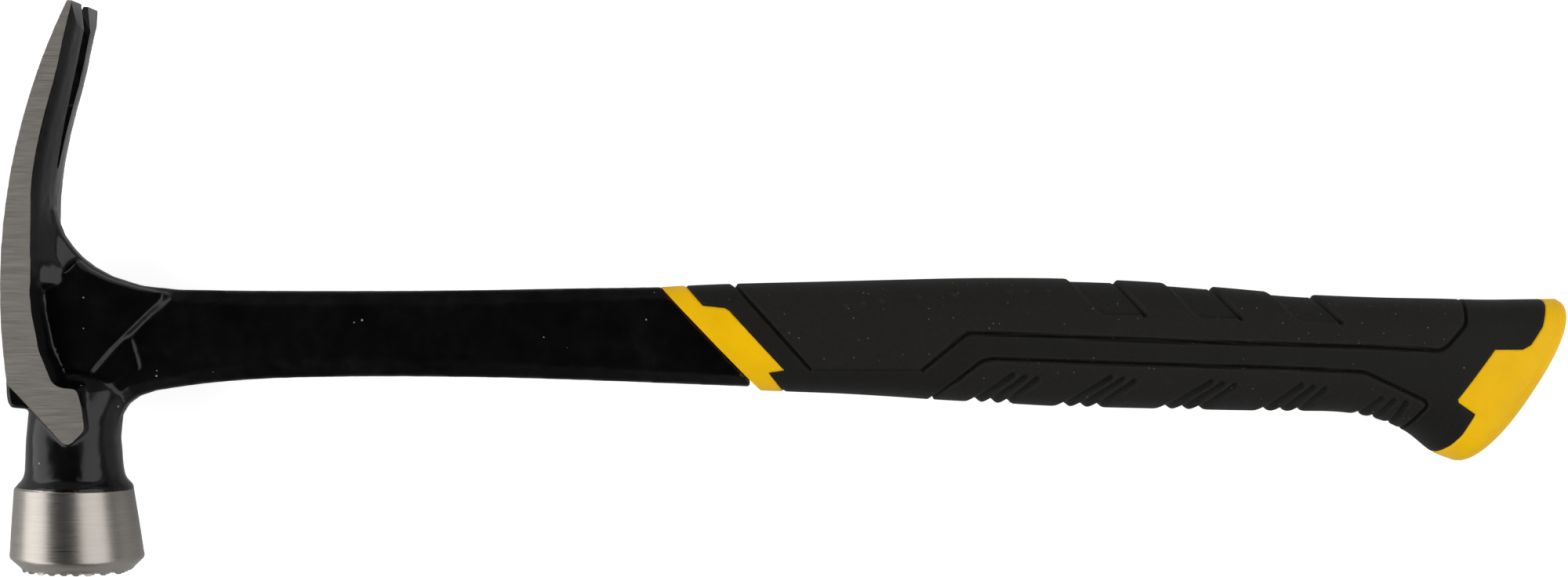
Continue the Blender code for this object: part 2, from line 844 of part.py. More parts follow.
def palm_pad():
    pad = under_skin("palm_pad", PALM_PAD, 0, PAD_DEPTH, 0)
    for i, corners in enumerate(RECESSES):
        outline = rounded(side_points(corners), 1.5, 2)
        shallow = grip_blank("recess_%d" % i, -4.0)
        combine(shallow, grip_blank("floor", RECESS_DEPTH), "DIFFERENCE")
        combine(shallow, slab("within", outline), "INTERSECT")
        combine(pad, shallow, "DIFFERENCE")
    return pad


def finger_pad():
    pad = under_skin("finger_pad", FINGER_PAD, 0, PAD_DEPTH, 0)
    for low_at, low, high_at, high in RIB_GROUPS:
        for k in range(RIBS_IN_GROUP):
            shift = along(RIB_PITCH * k)
            tip = Vector((along(high_at) + shift - along(0.6) * k, high - 0.5 * k))
            foot = tip.lerp(Vector((along(low_at) + shift, low)), RIB_REACH)
            across = Vector((1.0, 0.25))
            outline = [foot - across, foot + across, tip + across * 0.5, tip - across * 0.5]
            groove = grip_blank("rib", -4.0)
            combine(groove, grip_blank("floor", RIB_DEPTH), "DIFFERENCE")
            combine(groove, slab("within", outline), "INTERSECT")
            combine(pad, groove, "DIFFERENCE")
    return pad


def stand_on_ground(pieces):
    """Puts every piece on one frame whose origin is under the middle of the whole hammer."""
    frame = bpy.data.objects.new("hammer_frame", None)
    parts.objects.link(frame)
    bpy.context.view_layer.update()
    graph = bpy.context.evaluated_depsgraph_get()
    corners = []
    for piece in pieces:
        solid = piece.evaluated_get(graph)
        corners += [solid.matrix_world @ v.co for v in solid.data.vertices]
    low = [min(c[i] for c in corners) for i in range(3)]
    high = [max(c[i] for c in corners) for i in range(3)]
    for child in list(parts.objects) + list(cutters.objects):
        if child is not frame:
            child.parent = frame
    frame.location = (-(low[0] + high[0]) / 2, -(low[1] + high[1]) / 2, -low[2])


def main():
    global parts, cutters
    for old in list(bpy.data.objects):
        bpy.data.objects.remove(old)
    parts = bpy.data.collections.new("framing_hammer")
    cutters = bpy.data.collections.new("cutters")
    bpy.context.scene.collection.children.link(parts)
    bpy.context.scene.collection.children.link(cutters)

    steel = material("black_forged_steel", (0.012, 0.012, 0.013), 0.38, 0.6)
    bright = material("nickel_magnet", (0.55, 0.53, 0.50), 0.3, 1.0)
    elastomer = material("damping_elastomer", (0.05, 0.05, 0.05), 0.8, 0.0)
    yellow = material("yellow_plastic", (0.80, 0.50, 0.01), 0.42, 0.0)
    rubber = material("black_rubber", (0.014, 0.013, 0.012), 0.7, 0.0)
    pad = material("grained_rubber", (0.020, 0.019, 0.018), 0.8, 0.0)

    made = (
        (forged_body(), steel),
        (nail_magnet(), bright),
        (fork_damper(), elastomer),
        (grip_core(), yellow),
        (butt_cap(), yellow),
        (grip_cover(), rubber),
        (palm_pad(), pad),
        (finger_pad(), pad),
    )
    for piece, look in made:
        finish(piece, look)
    stand_on_ground([piece for piece, _ in made])


main()
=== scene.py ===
"""Steel framing hammer on its side: a painted forging with ground sides, and a grip of two rubbers on a
yellow core. Everything is drawn on the hammer's mid-plane in millimetres, X from the collar's front corner
towards the butt, Y towards the claw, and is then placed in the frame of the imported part.
"""

import math

import bpy
import numpy as np
from mathutils import Matrix, Vector, noise


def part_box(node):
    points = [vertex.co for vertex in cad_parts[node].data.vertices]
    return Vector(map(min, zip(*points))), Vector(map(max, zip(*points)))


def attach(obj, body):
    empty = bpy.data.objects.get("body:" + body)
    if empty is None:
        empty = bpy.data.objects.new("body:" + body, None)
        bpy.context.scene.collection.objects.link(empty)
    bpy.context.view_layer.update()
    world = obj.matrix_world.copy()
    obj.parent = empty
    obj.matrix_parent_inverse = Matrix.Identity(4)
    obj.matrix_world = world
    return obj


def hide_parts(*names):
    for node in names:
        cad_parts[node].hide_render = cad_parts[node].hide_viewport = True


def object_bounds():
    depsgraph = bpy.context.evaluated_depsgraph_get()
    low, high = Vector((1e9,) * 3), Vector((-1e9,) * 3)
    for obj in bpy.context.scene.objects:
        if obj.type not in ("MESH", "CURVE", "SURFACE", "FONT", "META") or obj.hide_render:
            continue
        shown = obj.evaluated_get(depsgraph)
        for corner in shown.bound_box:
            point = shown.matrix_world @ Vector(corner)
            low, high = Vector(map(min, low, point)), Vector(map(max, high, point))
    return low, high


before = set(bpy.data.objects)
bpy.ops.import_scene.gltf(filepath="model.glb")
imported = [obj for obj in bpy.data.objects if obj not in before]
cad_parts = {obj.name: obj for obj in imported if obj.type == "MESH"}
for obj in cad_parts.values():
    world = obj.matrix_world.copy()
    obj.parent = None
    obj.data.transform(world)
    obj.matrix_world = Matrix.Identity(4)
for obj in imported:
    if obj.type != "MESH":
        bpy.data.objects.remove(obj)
cad_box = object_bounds()

MM = 0.001

# Where the drawing sits in the part's frame
CLAW_TIP_Y = 72.5
SHANK_LENGTH = 149.1
GRIP_LENGTH = 231.0
collar_low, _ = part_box("grip_core")
ORIGIN = Vector((collar_low.x, cad_box[1].y - CLAW_TIP_Y * MM, (cad_box[0].z + cad_box[1].z) / 2))

# Forging
HEAD_HALF_WIDTH = 12.0
CLAW_TIP_HALF_WIDTH = 11.6
CROWN_X = -15.8
CROWN_RADIUS = 165.0
SHANK_EDGE_HALF = 2.0
SHANK_HALF = 4.5
CHEEK_HALF = 6.2
POLL_RIM_Y = -68.2
POLL_LEAN = math.radians(2.8)
FACE_LEAN = math.radians(1.0)
TOOTH_PITCH = 3.0
TOOTH_FLAT = 0.35
SLOT_DEPTH = 41.5
MAGNET_Y = -18.2
GRINDING_ALLOWANCE = 0.7
VOXEL = 0.5
NOISE_SEED = 7
PAST_THE_HEAD = 20
FINISHES = (PAINT, GROUND, TURNED) = (0, 1, 2)

# Grip
COLLAR_HALF = 8.6
GRIP_HALF = 12.5
BUTT_HALF = 13.3
BUTT_BULGE = 7.5
BUTT_LEAN = 0.16
DOME_SQUARENESS = 2.5
COVER_WALL = 3.4
PAD_DEPTH = 1.7
SEAM_GAP = 0.06
RECESS_DEPTH = 0.8
GROOVE_DEPTH = 1.15
SKIN_SPACING = 0.36
SKIN_AROUND = 264
PAST_THE_GRIP = 30

# Studio
FLOOR_HALF = 6.0
LIGHT_TARGET = (-0.18, 0, 0)
SOFTBOX_SIZE = (4.0, 1.3)
CAMERA_DISTANCE = 620.0
CAMERA_X = 31.3
SEEN_WIDTH = 400.0
SENSOR_WIDTH = 36.0


# ---------------------------------------------------------------- small geometry


def head(x):
    """A position measured from the poll's axis."""
    return x - SHANK_LENGTH


def along(percent):
    """A position along the grip."""
    return GRIP_LENGTH * percent / 100


def head_outline(points):
    """A side-view outline on the head."""
    return [Vector((head(x), y)) for x, y in points]


def side_outline(points):
    """A side-view outline on the grip."""
    return [Vector((along(p), y)) for p, y in points]


def area(outline):
    """Positive where the outline turns anticlockwise."""
    following = outline[1:] + outline[:1]
    return sum(a.x * b.y - b.x * a.y for a, b in zip(outline, following)) / 2


def grown(outline, distance):
    """A closed outline moved outwards everywhere, with mitred corners."""
    outward = 1 if area(outline) > 0 else -1
    moved = []
    for i, point in enumerate(outline):
        before = (point - outline[i - 1]).normalized()
        after = (outline[(i + 1) % len(outline)] - point).normalized()
        corner = Vector((before.y + after.y, -before.x - after.x)) * outward
        moved.append(point + corner * (2 * distance / max(corner.length_squared, 1.0)))
    return moved


def rounded(outline, radius, steps=4):
    """The outline with its corners cut by short curves."""
    made = []
    for i, point in enumerate(outline):
        back = outline[i - 1] - point
        ahead = outline[(i + 1) % len(outline)] - point
        reach = min(radius, back.length * 0.45, ahead.length * 0.45)
        start = point + back.normalized() * reach
        end = point + ahead.normalized() * reach
        for k in range(steps + 1):
            t = k / steps
            made.append(start * (1 - t) ** 2 + point * 2 * t * (1 - t) + end * t * t)
    return made


def curve_through(rows, t):
    """A smooth curve through given rows, at row number t."""
    count = len(rows)
    i = min(max(int(t), 0), count - 2)
    f = t - i
    kept = [min(max(k, 0), count - 1) for k in (i - 1, i, i + 1, i + 2)]
    before, a, b, after = (np.array(rows[k], float) for k in kept)
    slope = b - before
    bend = 2 * before - 5 * a + 4 * b - after
    twist = 3 * a - before - 3 * b + after
    return 0.5 * (2 * a + slope * f + bend * f**2 + twist * f**3)


def at_height(rows, value):
    """The other columns of a table where its first column has this value."""
    table = np.array(rows, float)
    keys = table[:, 0]
    t = float(np.interp(value, keys, np.arange(len(keys))))
    return curve_through(rows, t)[1:]


def smooth_step(value):
    """Rises from 0 to 1 with no corner at either end."""
    value = np.clip(value, 0, 1)
    return value * value * (3 - 2 * value)


def crown_x(y):
    """The long arc of the crown and the back of the claw."""
    return head(CROWN_X) + CROWN_RADIUS - math.sqrt(CROWN_RADIUS**2 - y * y)


# ---------------------------------------------------------------- meshes


def new_object(name, mesh):
    made = bpy.data.objects.new(name, mesh)
    bpy.context.scene.collection.objects.link(made)
    return made


def loft(name, rings, slot=PAINT):
    """A closed solid through rings with equal numbers of points."""
    rings = np.asarray(rings, float)
    levels, count = rings.shape[:2]
    index = np.arange(levels * count).reshape(levels, count)
    after = np.roll(index, -1, axis=1)
    walls = np.stack([index[:-1], after[:-1], after[1:], index[1:]], axis=-1)
    ends = [index[0][::-1].tolist(), index[-1].tolist()]
    faces = walls.reshape(-1, 4).tolist() + ends
    mesh = bpy.data.meshes.new(name)
    mesh.from_pydata((rings.reshape(-1, 3) * MM).tolist(), [], faces)
    if runs_backwards(rings):
        mesh.flip_normals()
    for _ in FINISHES:
        mesh.materials.append(None)
    mesh.polygons.foreach_set("material_index", [slot] * len(mesh.polygons))
    return new_object(name, mesh)


def runs_backwards(rings):
    """Whether the first ring turns clockwise as seen from the second one."""
    centre = rings[0].mean(axis=0)
    arms = rings[0] - centre
    turn = np.cross(arms, np.roll(arms, -1, axis=0)).sum(axis=0)
    return turn @ (rings[1].mean(axis=0) - centre) < 0


def plate(name, levels, slot=PAINT):
    """A solid between flat outlines; each level is an outline and its height over the mid-plane."""
    return loft(name, [[(p.x, p.y, z) for p in outline] for outline, z in levels], slot)


def slab(name, outline, half, slot=PAINT):
    """A plate of one outline, the same height on both sides of the mid-plane."""
    return plate(name, ((outline, -half), (outline, half)), slot)


def mirrored_plate(name, levels):
    """The same on both sides of the mid-plane; levels run from the outermost one inwards."""
    below = [(outline, -z) for outline, z in levels]
    above = [(outline, z) for outline, z in reversed(levels)]
    return plate(name, below + above)


def settle(target):
    """Turns an object's modifiers into its mesh."""
    graph = bpy.context.evaluated_depsgraph_get()
    graph.update()
    mesh = bpy.data.meshes.new_from_object(target.evaluated_get(graph))
    target.modifiers.clear()
    target.data = mesh


def combine(target, tool, operation):
    """Cuts or adds a tool solid, which is used up."""
    step = target.modifiers.new("combine", "BOOLEAN")
    step.operation = operation
    step.object = tool
    step.solver = "MANIFOLD"
    settle(target)
    bpy.data.objects.remove(tool)
    return target


def join(name, solids):
    """Puts several meshes in one object without merging them."""
    points, faces = [], []
    for solid in solids:
        base = len(points)
        points += [v.co[:] for v in solid.data.vertices]
        faces += [[base + i for i in face.vertices] for face in solid.data.polygons]
        bpy.data.objects.remove(solid)
    mesh = bpy.data.meshes.new(name)
    mesh.from_pydata(points, [], faces)
    for _ in FINISHES:
        mesh.materials.append(None)
    return new_object(name, mesh)


def coordinates(mesh):
    found = np.empty(len(mesh.vertices) * 3)
    mesh.vertices.foreach_get("co", found)
    return found.reshape(-1, 3)


def set_coordinates(mesh, points):
    mesh.vertices.foreach_set("co", points.reshape(-1))
    mesh.update()


def place(piece, finishes, nodes, sharp=32):
    """Gives a finished piece its materials and its place on the part."""
    for index, finish in enumerate(finishes):
        piece.data.materials[index] = finish
    while len(piece.data.materials) > len(finishes):
        piece.data.materials.pop()
    piece.data.shade_smooth()
    piece.data.set_sharp_from_angle(angle=math.radians(sharp))
    piece.data.transform(Matrix.Translation(ORIGIN))
    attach(piece, "root")
    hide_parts(*nodes)


# ---------------------------------------------------------------- forging

# Height, then the distance of the claw's ground edge and of its middle crest from the poll's axis
CLAW_INNER = (
    (-6.0, -8.4, 12.0),
    (1.0, -8.4, 9.0),
    (4.5, -8.3, 6.0),
    (8.0, -8.3, 1.4),
    (13.0, -8.4, -3.0),
    (20.8, -8.3, -5.6),
    (28.0, -7.8, -5.0),
    (36.0, -6.5, -3.6),
    (44.5, -4.5, -1.7),
    (54.4, -1.9, 0.6),
    (61.0, -0.5, 2.0),
    (66.1, 0.7, 3.1),
    (75.0, 2.7, 5.0),
)
UPPER_FILLET = (
    (-5.4, 20.0),
    (-4.7, 17.0),
    (-3.3, 13.6),
    (-0.9, 10.3),
    (1.3, 8.0),
    (4.3, 5.6),
    (9.0, 3.1),
    (16.5, 0.7),
    (25.0, -0.2),
    (31.0, -0.5),
)
LOWER_FILLET = (
    (31.0, -24.4),
    (25.4, -25.2),
    (20.4, -26.0),
    (16.0, -27.4),
    (13.0, -29.6),
    (11.4, -32.4),
    (10.8, -36.0),
)
CROWN_SIDE = (
    (-8.1, 23.0),
    (-8.3, 10.0),
    (-8.1, 1.6),
    (-8.4, -0.2),
    (-7.9, -6.3),
    (-7.1, -9.8),
    (-6.1, -15.5),
    (-4.5, -19.4),
    (-2.8, -23.7),
    (-0.5, -25.0),
    (3.3, -25.1),
    (4.6, -29.4),
    (5.4, -35.7),
    (1.8, -39.0),
    (0.9, -39.2),
    (-0.2, -38.6),
    (-14.3, -23.9),
    (-20.0, -18.0),
    (-20.0, 23.0),
)
CHEEK_TOP = (
    (1.3, 6.7),
    (-5.5, 0.2),
    (-5.7, -3.2),
    (-3.9, -11.9),
    (-0.8, -20.4),
    (5.0, -21.2),
    (10.3, -14.9),
    (14.6, -10.6),
    (23.0, -2.4),
    (24.0, -1.1),
    (16.5, -0.3),
    (9.0, 2.0),
    (4.3, 4.4),
)
CHEEK_FOOT = (
    (1.5, 7.4),
    (-6.2, 0.4),
    (-6.4, -3.2),
    (-4.6, -12.0),
    (-1.5, -21.2),
    (5.2, -22.4),
    (12.1, -15.0),
    (16.6, -10.6),
    (23.8, -4.4),
    (24.6, -1.1),
    (16.6, 0.3),
    (9.1, 2.6),
    (4.4, 5.0),
)
ROOT_STEP = (
    (4.5, -21.6),
    (14.1, -12.9),
    (15.1, -12.6),
    (17.4, -20.4),
    (13.4, -21.8),
    (9.4, -24.2),
    (4.0, -27.0),
)
CHEEK_VALLEY = (
    (-10.0, -22.5),
    (-2.0, -22.5),
    (-4.4, -11.0),
    (-5.6, -2.0),
    (-3.0, 3.0),
    (-10.0, 3.0),
)
HOLDER = (
    (-16.1, -18.0),
    (-16.2, -24.0),
    (-15.8, -28.7),
    (-14.9, -30.2),
    (-10.0, -30.6),
    (-8.0, -18.0),
)
# Distance and height of the back line, then of the belly line, then the upper and lower margins
SHANK_ROWS = (
    (-122.1, -0.3, -122.1, -24.9, 3.6, 3.6),
    (-111.2, -0.5, -111.2, -23.7, 3.8, 4.4),
    (-96.6, -0.6, -96.6, -22.8, 4.0, 5.0),
    (-71.0, -0.6, -71.0, -22.4, 4.1, 5.1),
    (-46.7, -0.4, -41.8, -22.7, 4.2, 4.8),
    (-24.8, 0.0, -12.7, -23.6, 4.4, 4.5),
    (1.5, 0.35, 25.0, -25.1, 4.4, 4.3),
)
# Height, centre, half width, half thickness and squareness of the neck
NECK_ROWS = (
    (-19.5, -1.0, 7.4, 3.6, 0.9),
    (-21.5, 0.2, 9.4, 5.0, 0.9),
    (-23.5, 0.9, 10.8, 6.6, 0.88),
    (-26.0, 1.0, 11.8, 8.6, 0.86),
    (-29.0, 0.5, 11.8, 10.3, 0.84),
    (-32.5, -0.2, 11.4, 11.2, 0.82),
    (-38.0, -0.7, 11.3, 11.3, 0.78),
    (-43.0, -0.6, 11.7, 11.4, 0.84),
    (-46.5, -0.5, 12.1, 11.7, 0.9),
    (-48.2, -0.5, 12.6, 12.2, 0.95),
    (-49.2, -0.5, 13.5, 13.2, 1.0),
    (-49.9, -0.5, 14.2, 14.1, 1.0),
    (-50.6, -0.5, 14.6, 14.6, 1.0),
    (-52.0, -0.5, 14.6, 14.6, 1.0),
)


def claw_ring(y):
    """One section of the claw, which rises out of the root and hollows out above the cheek."""
    edge, crest = at_height(CLAW_INNER, y)
    half = HEAD_HALF_WIDTH + (CLAW_TIP_HALF_WIDTH - HEAD_HALF_WIDTH) * max(0.0, y / CLAW_TIP_Y)
    above_cheek = y - float(np.interp(edge + 3, (-8.2, 1.3), (0.0, 4.5)))
    rise = float(smooth_step(above_cheek / 4.5 + 0.8))
    hollow = 2.0 * math.exp(-(((y - 9.5) / 4.5) ** 2))
    crest_half = 0.7

    def raised(height):
        return SHANK_HALF + (height - SHANK_HALF) * rise

    shoulder_x = edge + 1.6
    shoulder = raised(half - 2.4) - 0.2
    ring = [
        (crown_x(y), raised(half + GRINDING_ALLOWANCE)),
        (head(edge - 0.45), raised(half + GRINDING_ALLOWANCE)),
        (head(edge + 1.0), raised(half - 1.6)),
        (head(shoulder_x), shoulder),
        (head((shoulder_x + crest) / 2), (shoulder + crest_half) / 2 - hollow),
        (head(crest - 0.25), crest_half),
    ]
    return [(x, y, z) for x, z in ring] + [(x, y, -z) for x, z in reversed(ring)]


def claw():
    root = np.linspace(-6.0, 24.0, 31)
    blade = np.linspace(26.0, CLAW_TIP_Y + 0.6, 26)
    return loft("claw", [claw_ring(y) for y in np.concatenate([root, blade])])


def crown():
    """The thick back of the head; its sides are ground flat, and its outer arc is trimmed last."""
    side = head_outline(CROWN_SIDE)
    foot = rounded(grown(side, 2.2), 1.8)
    top = rounded(side, 1.2)
    lip = rounded(grown(side, -0.2), 1.2)
    lip_height = HEAD_HALF_WIDTH + GRINDING_ALLOWANCE
    made = mirrored_plate("crown", ((lip, lip_height), (top, HEAD_HALF_WIDTH), (foot, 3.6)))
    arc = [Vector((crown_x(y), y)) for y in np.linspace(30, -23.9, 19)]
    slant = head_outline([(-0.2, -38.6), (2.0, -42.0), (2.0, -60.0), (-60.0, -60.0), (-60.0, 30.0)])
    return combine(made, slab("crown_trim", arc + slant, PAST_THE_HEAD), "DIFFERENCE")


def root_plate():
    """The web where the shank widens into the head, between its two fillets."""
    under_crown = ((-11.0, -36.0), (-13.5, 0.0), (-13.0, 20.0))
    outline = head_outline(UPPER_FILLET + LOWER_FILLET + under_crown)
    margin = 3.2
    return mirrored_plate("root", ((grown(outline, -margin), SHANK_HALF), (outline, SHANK_EDGE_HALF)))


def cheek():
    """The raised flat panel between claw, crown and shank."""
    top = rounded(head_outline(CHEEK_TOP), 0.8)
    foot = rounded(head_outline(CHEEK_FOOT), 0.8)
    return mirrored_plate("cheek", ((top, CHEEK_HALF), (foot, SHANK_HALF - 0.1)))


def low_step(name, points, height):
    """A shallow step on the web."""
    outline = rounded(head_outline(points), 0.8)
    return mirrored_plate(name, ((outline, height), (grown(outline, 0.4), SHANK_HALF - 0.4)))


def neck():
    """The waist between the web and the poll, square above and round below."""
    angles = np.linspace(0, 2 * math.pi, 64, endpoint=False)
    rings = []
    for y, centre, half, thick, square in NECK_ROWS:
        x = np.sign(np.cos(angles)) * np.abs(np.cos(angles)) ** square * half + head(centre)
        z = np.sign(np.sin(angles)) * np.abs(np.sin(angles)) ** square * thick
        rings.append(np.stack([x, np.full_like(x, y), z], axis=1))
    return loft("neck", rings)


def shank():
    """A flat bar with bevelled margins, cut off just inside the collar."""
    rings = []
    for t in np.linspace(0, len(SHANK_ROWS) - 1, 40):
        top_x, top, low_x, low, high_margin, low_margin = curve_through(SHANK_ROWS, t)
        back, belly = Vector((top_x, top)), Vector((low_x, low))
        depth = (belly - back).length
        marks = (
            (0.0, SHANK_EDGE_HALF),
            (high_margin / depth, SHANK_HALF),
            (1 - low_margin / depth, SHANK_HALF),
            (1.0, SHANK_EDGE_HALF),
        )
        side = [(*back.lerp(belly, share), z) for share, z in marks]
        rings.append(side + [(x, y, -z) for x, y, z in reversed(side)])
    made = loft("shank", rings)
    upper, lower = Vector((-7.55, 8.3)), Vector((22.65, -23.5))
    beyond = [Vector((22.4, -40)), Vector((80, -40)), Vector((80, 8.3))]
    return combine(made, slab("collar_end", [upper, lower] + beyond, PAST_THE_HEAD), "DIFFERENCE")


def tang_stub():
    """The front of the thinner bar that runs on inside the grip."""
    half_section = [(-5.8, 2.4), (-6.8, 3.3), (-18.0, 3.3), (-19.0, 2.4)]
    section = half_section + [(y, -z) for y, z in reversed(half_section)]
    return loft("tang", [[(x, y, z) for y, z in section] for x in (-14.0, 24.0)])


def holder():
    """The small block behind the crown that holds a nail."""
    outline = head_outline(HOLDER)
    return mirrored_plate("holder", ((grown(outline, -0.6), 7.0), (outline, 6.2)))


def poll_frame():
    """Local Z runs up the poll's axis from the rim, local X along its face."""
    face = Vector((math.cos(FACE_LEAN), -math.sin(FACE_LEAN), 0))
    up = Vector((-math.sin(POLL_LEAN), math.cos(POLL_LEAN), 0))
    turn = Matrix((face, Vector((0, 0, -1)), up)).transposed().to_4x4()
    return Matrix.Translation(Vector((head(0.2), POLL_RIM_Y, 0)) * MM) @ turn


def milling_comb(valley):
    """Ten parallel V-cutters that together cut one direction of the milled face."""
    mouth = -4.05
    behind = -8.0
    half_mouth = (TOOTH_PITCH - TOOTH_FLAT) / 2
    half_valley = 0.12
    points = []
    for k in range(-5, 5):
        centre = (k + 0.5) * TOOTH_PITCH
        points += [(centre - half_mouth, mouth), (centre - half_valley, valley)]
        points += [(centre + half_valley, valley), (centre + half_mouth, mouth)]
    points += [(points[-1][0], behind), (points[0][0], behind)]
    return slab("comb", [Vector(p) for p in points], 24, TURNED)


def poll():
    """The turned and ground striking end, with its milled face."""
    # Radius and height over the rim
    profile = (
        (12.0, 18.0),
        (14.3, 17.7),
        (14.72, 17.2),
        (15.7, 8.6),
        (16.45, 1.2),
        (16.58, 0.5),
        (16.55, 0.0),
        (16.35, -0.45),
        (15.1, -1.65),
        (14.2, -2.5),
        (13.75, -3.1),
        (13.6, -3.75),
    )
    angles = np.linspace(0, 2 * math.pi, 128, endpoint=False)
    circle = np.column_stack([np.cos(angles), np.sin(angles)])
    rings = [np.column_stack([radius * circle, np.full_like(angles, height)]) for radius, height in profile]
    made = loft("poll", rings, TURNED)
    for quarter, valley in ((0, -2.75), (math.pi / 2, -2.85)):
        comb = milling_comb(valley)
        comb.data.transform(Matrix.Rotation(quarter, 4, "Z") @ Matrix.Rotation(math.pi / 2, 4, "X"))
        combine(made, comb, "DIFFERENCE")
    made.data.transform(poll_frame())
    return made


def tool_cylinder(name, radius, start, end):
    """A round cutter between two points."""
    sides = 40
    start, end = Vector(start), Vector(end)
    turn = (end - start).to_track_quat("Z", "Y").to_matrix()
    rings = []
    for centre in (start, end):
        ring = []
        for k in range(sides):
            a = 2 * math.pi * k / sides
            ring.append(centre + turn @ Vector((radius * math.cos(a), radius * math.sin(a), 0)))
        rings.append([p[:] for p in ring])
    return loft(name, rings)


def roughen(points):
    """Slight unevenness of a forged skin, the same on every run."""
    noise.seed_set(NOISE_SEED)
    moved = points.copy()
    for i, point in enumerate(points):
        for fineness, height in ((0.35, 0.05), (1.3, 0.025)):
            moved[i] += np.array(noise.noise_vector(Vector(point / MM * fineness))) * height * MM
    return moved


def forging():
    """Die-forged blank, smoothed by its scale and paint, then ground, slotted and turned."""
    solids = [root_plate(), crown(), cheek(), claw(), neck(), shank(), tang_stub(), holder()]
    solids += [low_step("root_step", ROOT_STEP, SHANK_HALF + 0.6), low_step("valley", CHEEK_VALLEY, 5.5)]
    body = join("hammer_forging", solids)
    skin = body.modifiers.new("skin", "REMESH")
    skin.mode = "VOXEL"
    skin.voxel_size = VOXEL * MM
    ease = body.modifiers.new("ease", "SMOOTH")
    ease.factor = 0.5
    ease.iterations = 8
    settle(body)
    set_coordinates(body.data, roughen(coordinates(body.data)))

    for side in (1, -1):
        grind_sides(body, side)
    finish_claw_tip(body)
    cut_claw_slot(body)
    cut_nail_holder(body)
    return combine(body, poll(), "UNION")


def grind_sides(body, side):
    low, high = -46.0, 75.0
    cut = [
        (low, HEAD_HALF_WIDTH),
        (0.0, HEAD_HALF_WIDTH),
        (high, CLAW_TIP_HALF_WIDTH - 0.02),
        (high, PAST_THE_HEAD),
        (low, PAST_THE_HEAD),
    ]
    rings = [[(x, y, z * side) for y, z in cut] for x in (head(-25), head(12))]
    combine(body, loft("ground_side", rings, GROUND), "DIFFERENCE")


def finish_claw_tip(body):
    """The bevel on the inside of the claw's tip, and its square end."""
    tip = CLAW_TIP_Y
    bevel = [(1.9, tip + 0.5), (2.6, tip - 6.5), (3.2, tip - 8.0), (9.0, tip - 8.0), (9.0, tip + 0.5)]
    combine(body, slab("tip_bevel", head_outline(bevel), PAST_THE_HEAD), "DIFFERENCE")
    end = [(-9, tip), (9, tip - 0.5), (9, tip + 6), (-9, tip + 6)]
    combine(body, slab("tip_end", head_outline(end), PAST_THE_HEAD), "DIFFERENCE")


def cut_claw_slot(body):
    """The tapering slot that grips a nail under its head."""
    low = CLAW_TIP_Y - SLOT_DEPTH
    half_slot = [(0.35, low - 0.4), (0.8, low + 0.6), (2.75, CLAW_TIP_Y - 20), (2.95, CLAW_TIP_Y + 2)]
    outline = half_slot + [(-z, y) for z, y in reversed(half_slot)]
    rings = [[(x, y, z) for z, y in outline] for x in (head(-20), head(12))]
    combine(body, loft("claw_slot", rings), "DIFFERENCE")


def cut_nail_holder(body):
    """The groove that a nail lies in, and the seat of the magnet that holds it."""
    groove_x = head(CROWN_X - 0.3)
    combine(body, tool_cylinder("nail_groove", 2.2, (groove_x, -36, 0), (groove_x, -6, 0)), "DIFFERENCE")
    seat_end = head(CROWN_X) + 5.5
    seat = tool_cylinder("magnet_seat", 3.5, (head(-25), MAGNET_Y, 0), (seat_end, MAGNET_Y, 0))
    combine(body, seat, "DIFFERENCE")


# ---------------------------------------------------------------- grip

# Per cent of the length and height of the back line, then of the belly line, and the thickness share
GRIP_SECTIONS = (
    (0.0, 0.4, 11.0, -26.0, 0.0),
    (5.0, 1.0, 15.3, -26.4, 0.28),
    (10.5, 1.4, 19.8, -26.8, 0.55),
    (18.0, 1.8, 25.0, -27.5, 0.82),
    (26.5, 2.3, 30.8, -28.4, 0.96),
    (35.0, 2.7, 37.4, -29.2, 1.0),
    (43.8, 2.6, 43.8, -30.0, 1.0),
    (52.5, 1.9, 52.5, -30.5, 1.0),
    (61.2, 0.4, 60.3, -30.9, 1.0),
    (69.8, -1.3, 68.0, -31.2, 1.0),
    (78.5, -2.2, 74.5, -31.4, 1.0),
    (85.0, -2.5, 78.8, -33.1, 1.0),
    (90.6, -2.8, 82.2, -36.4, 1.0),
    (95.0, -2.7, 85.0, -41.4, 1.0),
    (98.5, -2.6, 86.9, -43.3, 1.0),
)
# Seams as per cent of the length and height
COLLAR_SEAM = (
    (1.6, 4.0),
    (2.6, 1.0),
    (4.7, -4.3),
    (7.1, -4.9),
    (7.6, -5.6),
    (13.6, -20.6),
    (11.9, -21.3),
    (13.5, -26.2),
    (15.0, -31.0),
)
BUTT_SEAM = (
    (97.3, 2.0),
    (97.0, -2.4),
    (96.8, -4.3),
    (95.9, -9.6),
    (94.4, -14.2),
    (93.5, -15.3),
    (90.5, -15.3),
    (86.5, -27.8),
    (86.6, -28.6),
    (88.4, -31.5),
    (88.3, -32.1),
    (87.2, -37.0),
    (86.3, -39.5),
    (85.5, -41.0),
    (83.5, -45.0),
)
PALM_PAD = (
    (5.2, 6.0),
    (8.3, 0.8),
    (16.4, -20.5),
    (28.6, -20.6),
    (33.4, -11.1),
    (34.6, -11.1),
    (56.1, -13.2),
    (76.5, -14.5),
    (84.6, -15.5),
    (85.5, -14.1),
    (87.6, -8.8),
    (88.0, -3.0),
    (88.4, 6.0),
)
FINGER_PAD = (
    (27.6, -34.0),
    (29.8, -28.0),
    (35.1, -18.1),
    (36.2, -17.7),
    (49.3, -18.8),
    (68.0, -20.0),
    (76.4, -21.0),
    (83.0, -28.2),
    (83.4, -29.5),
    (81.9, -34.2),
    (80.4, -40.0),
)
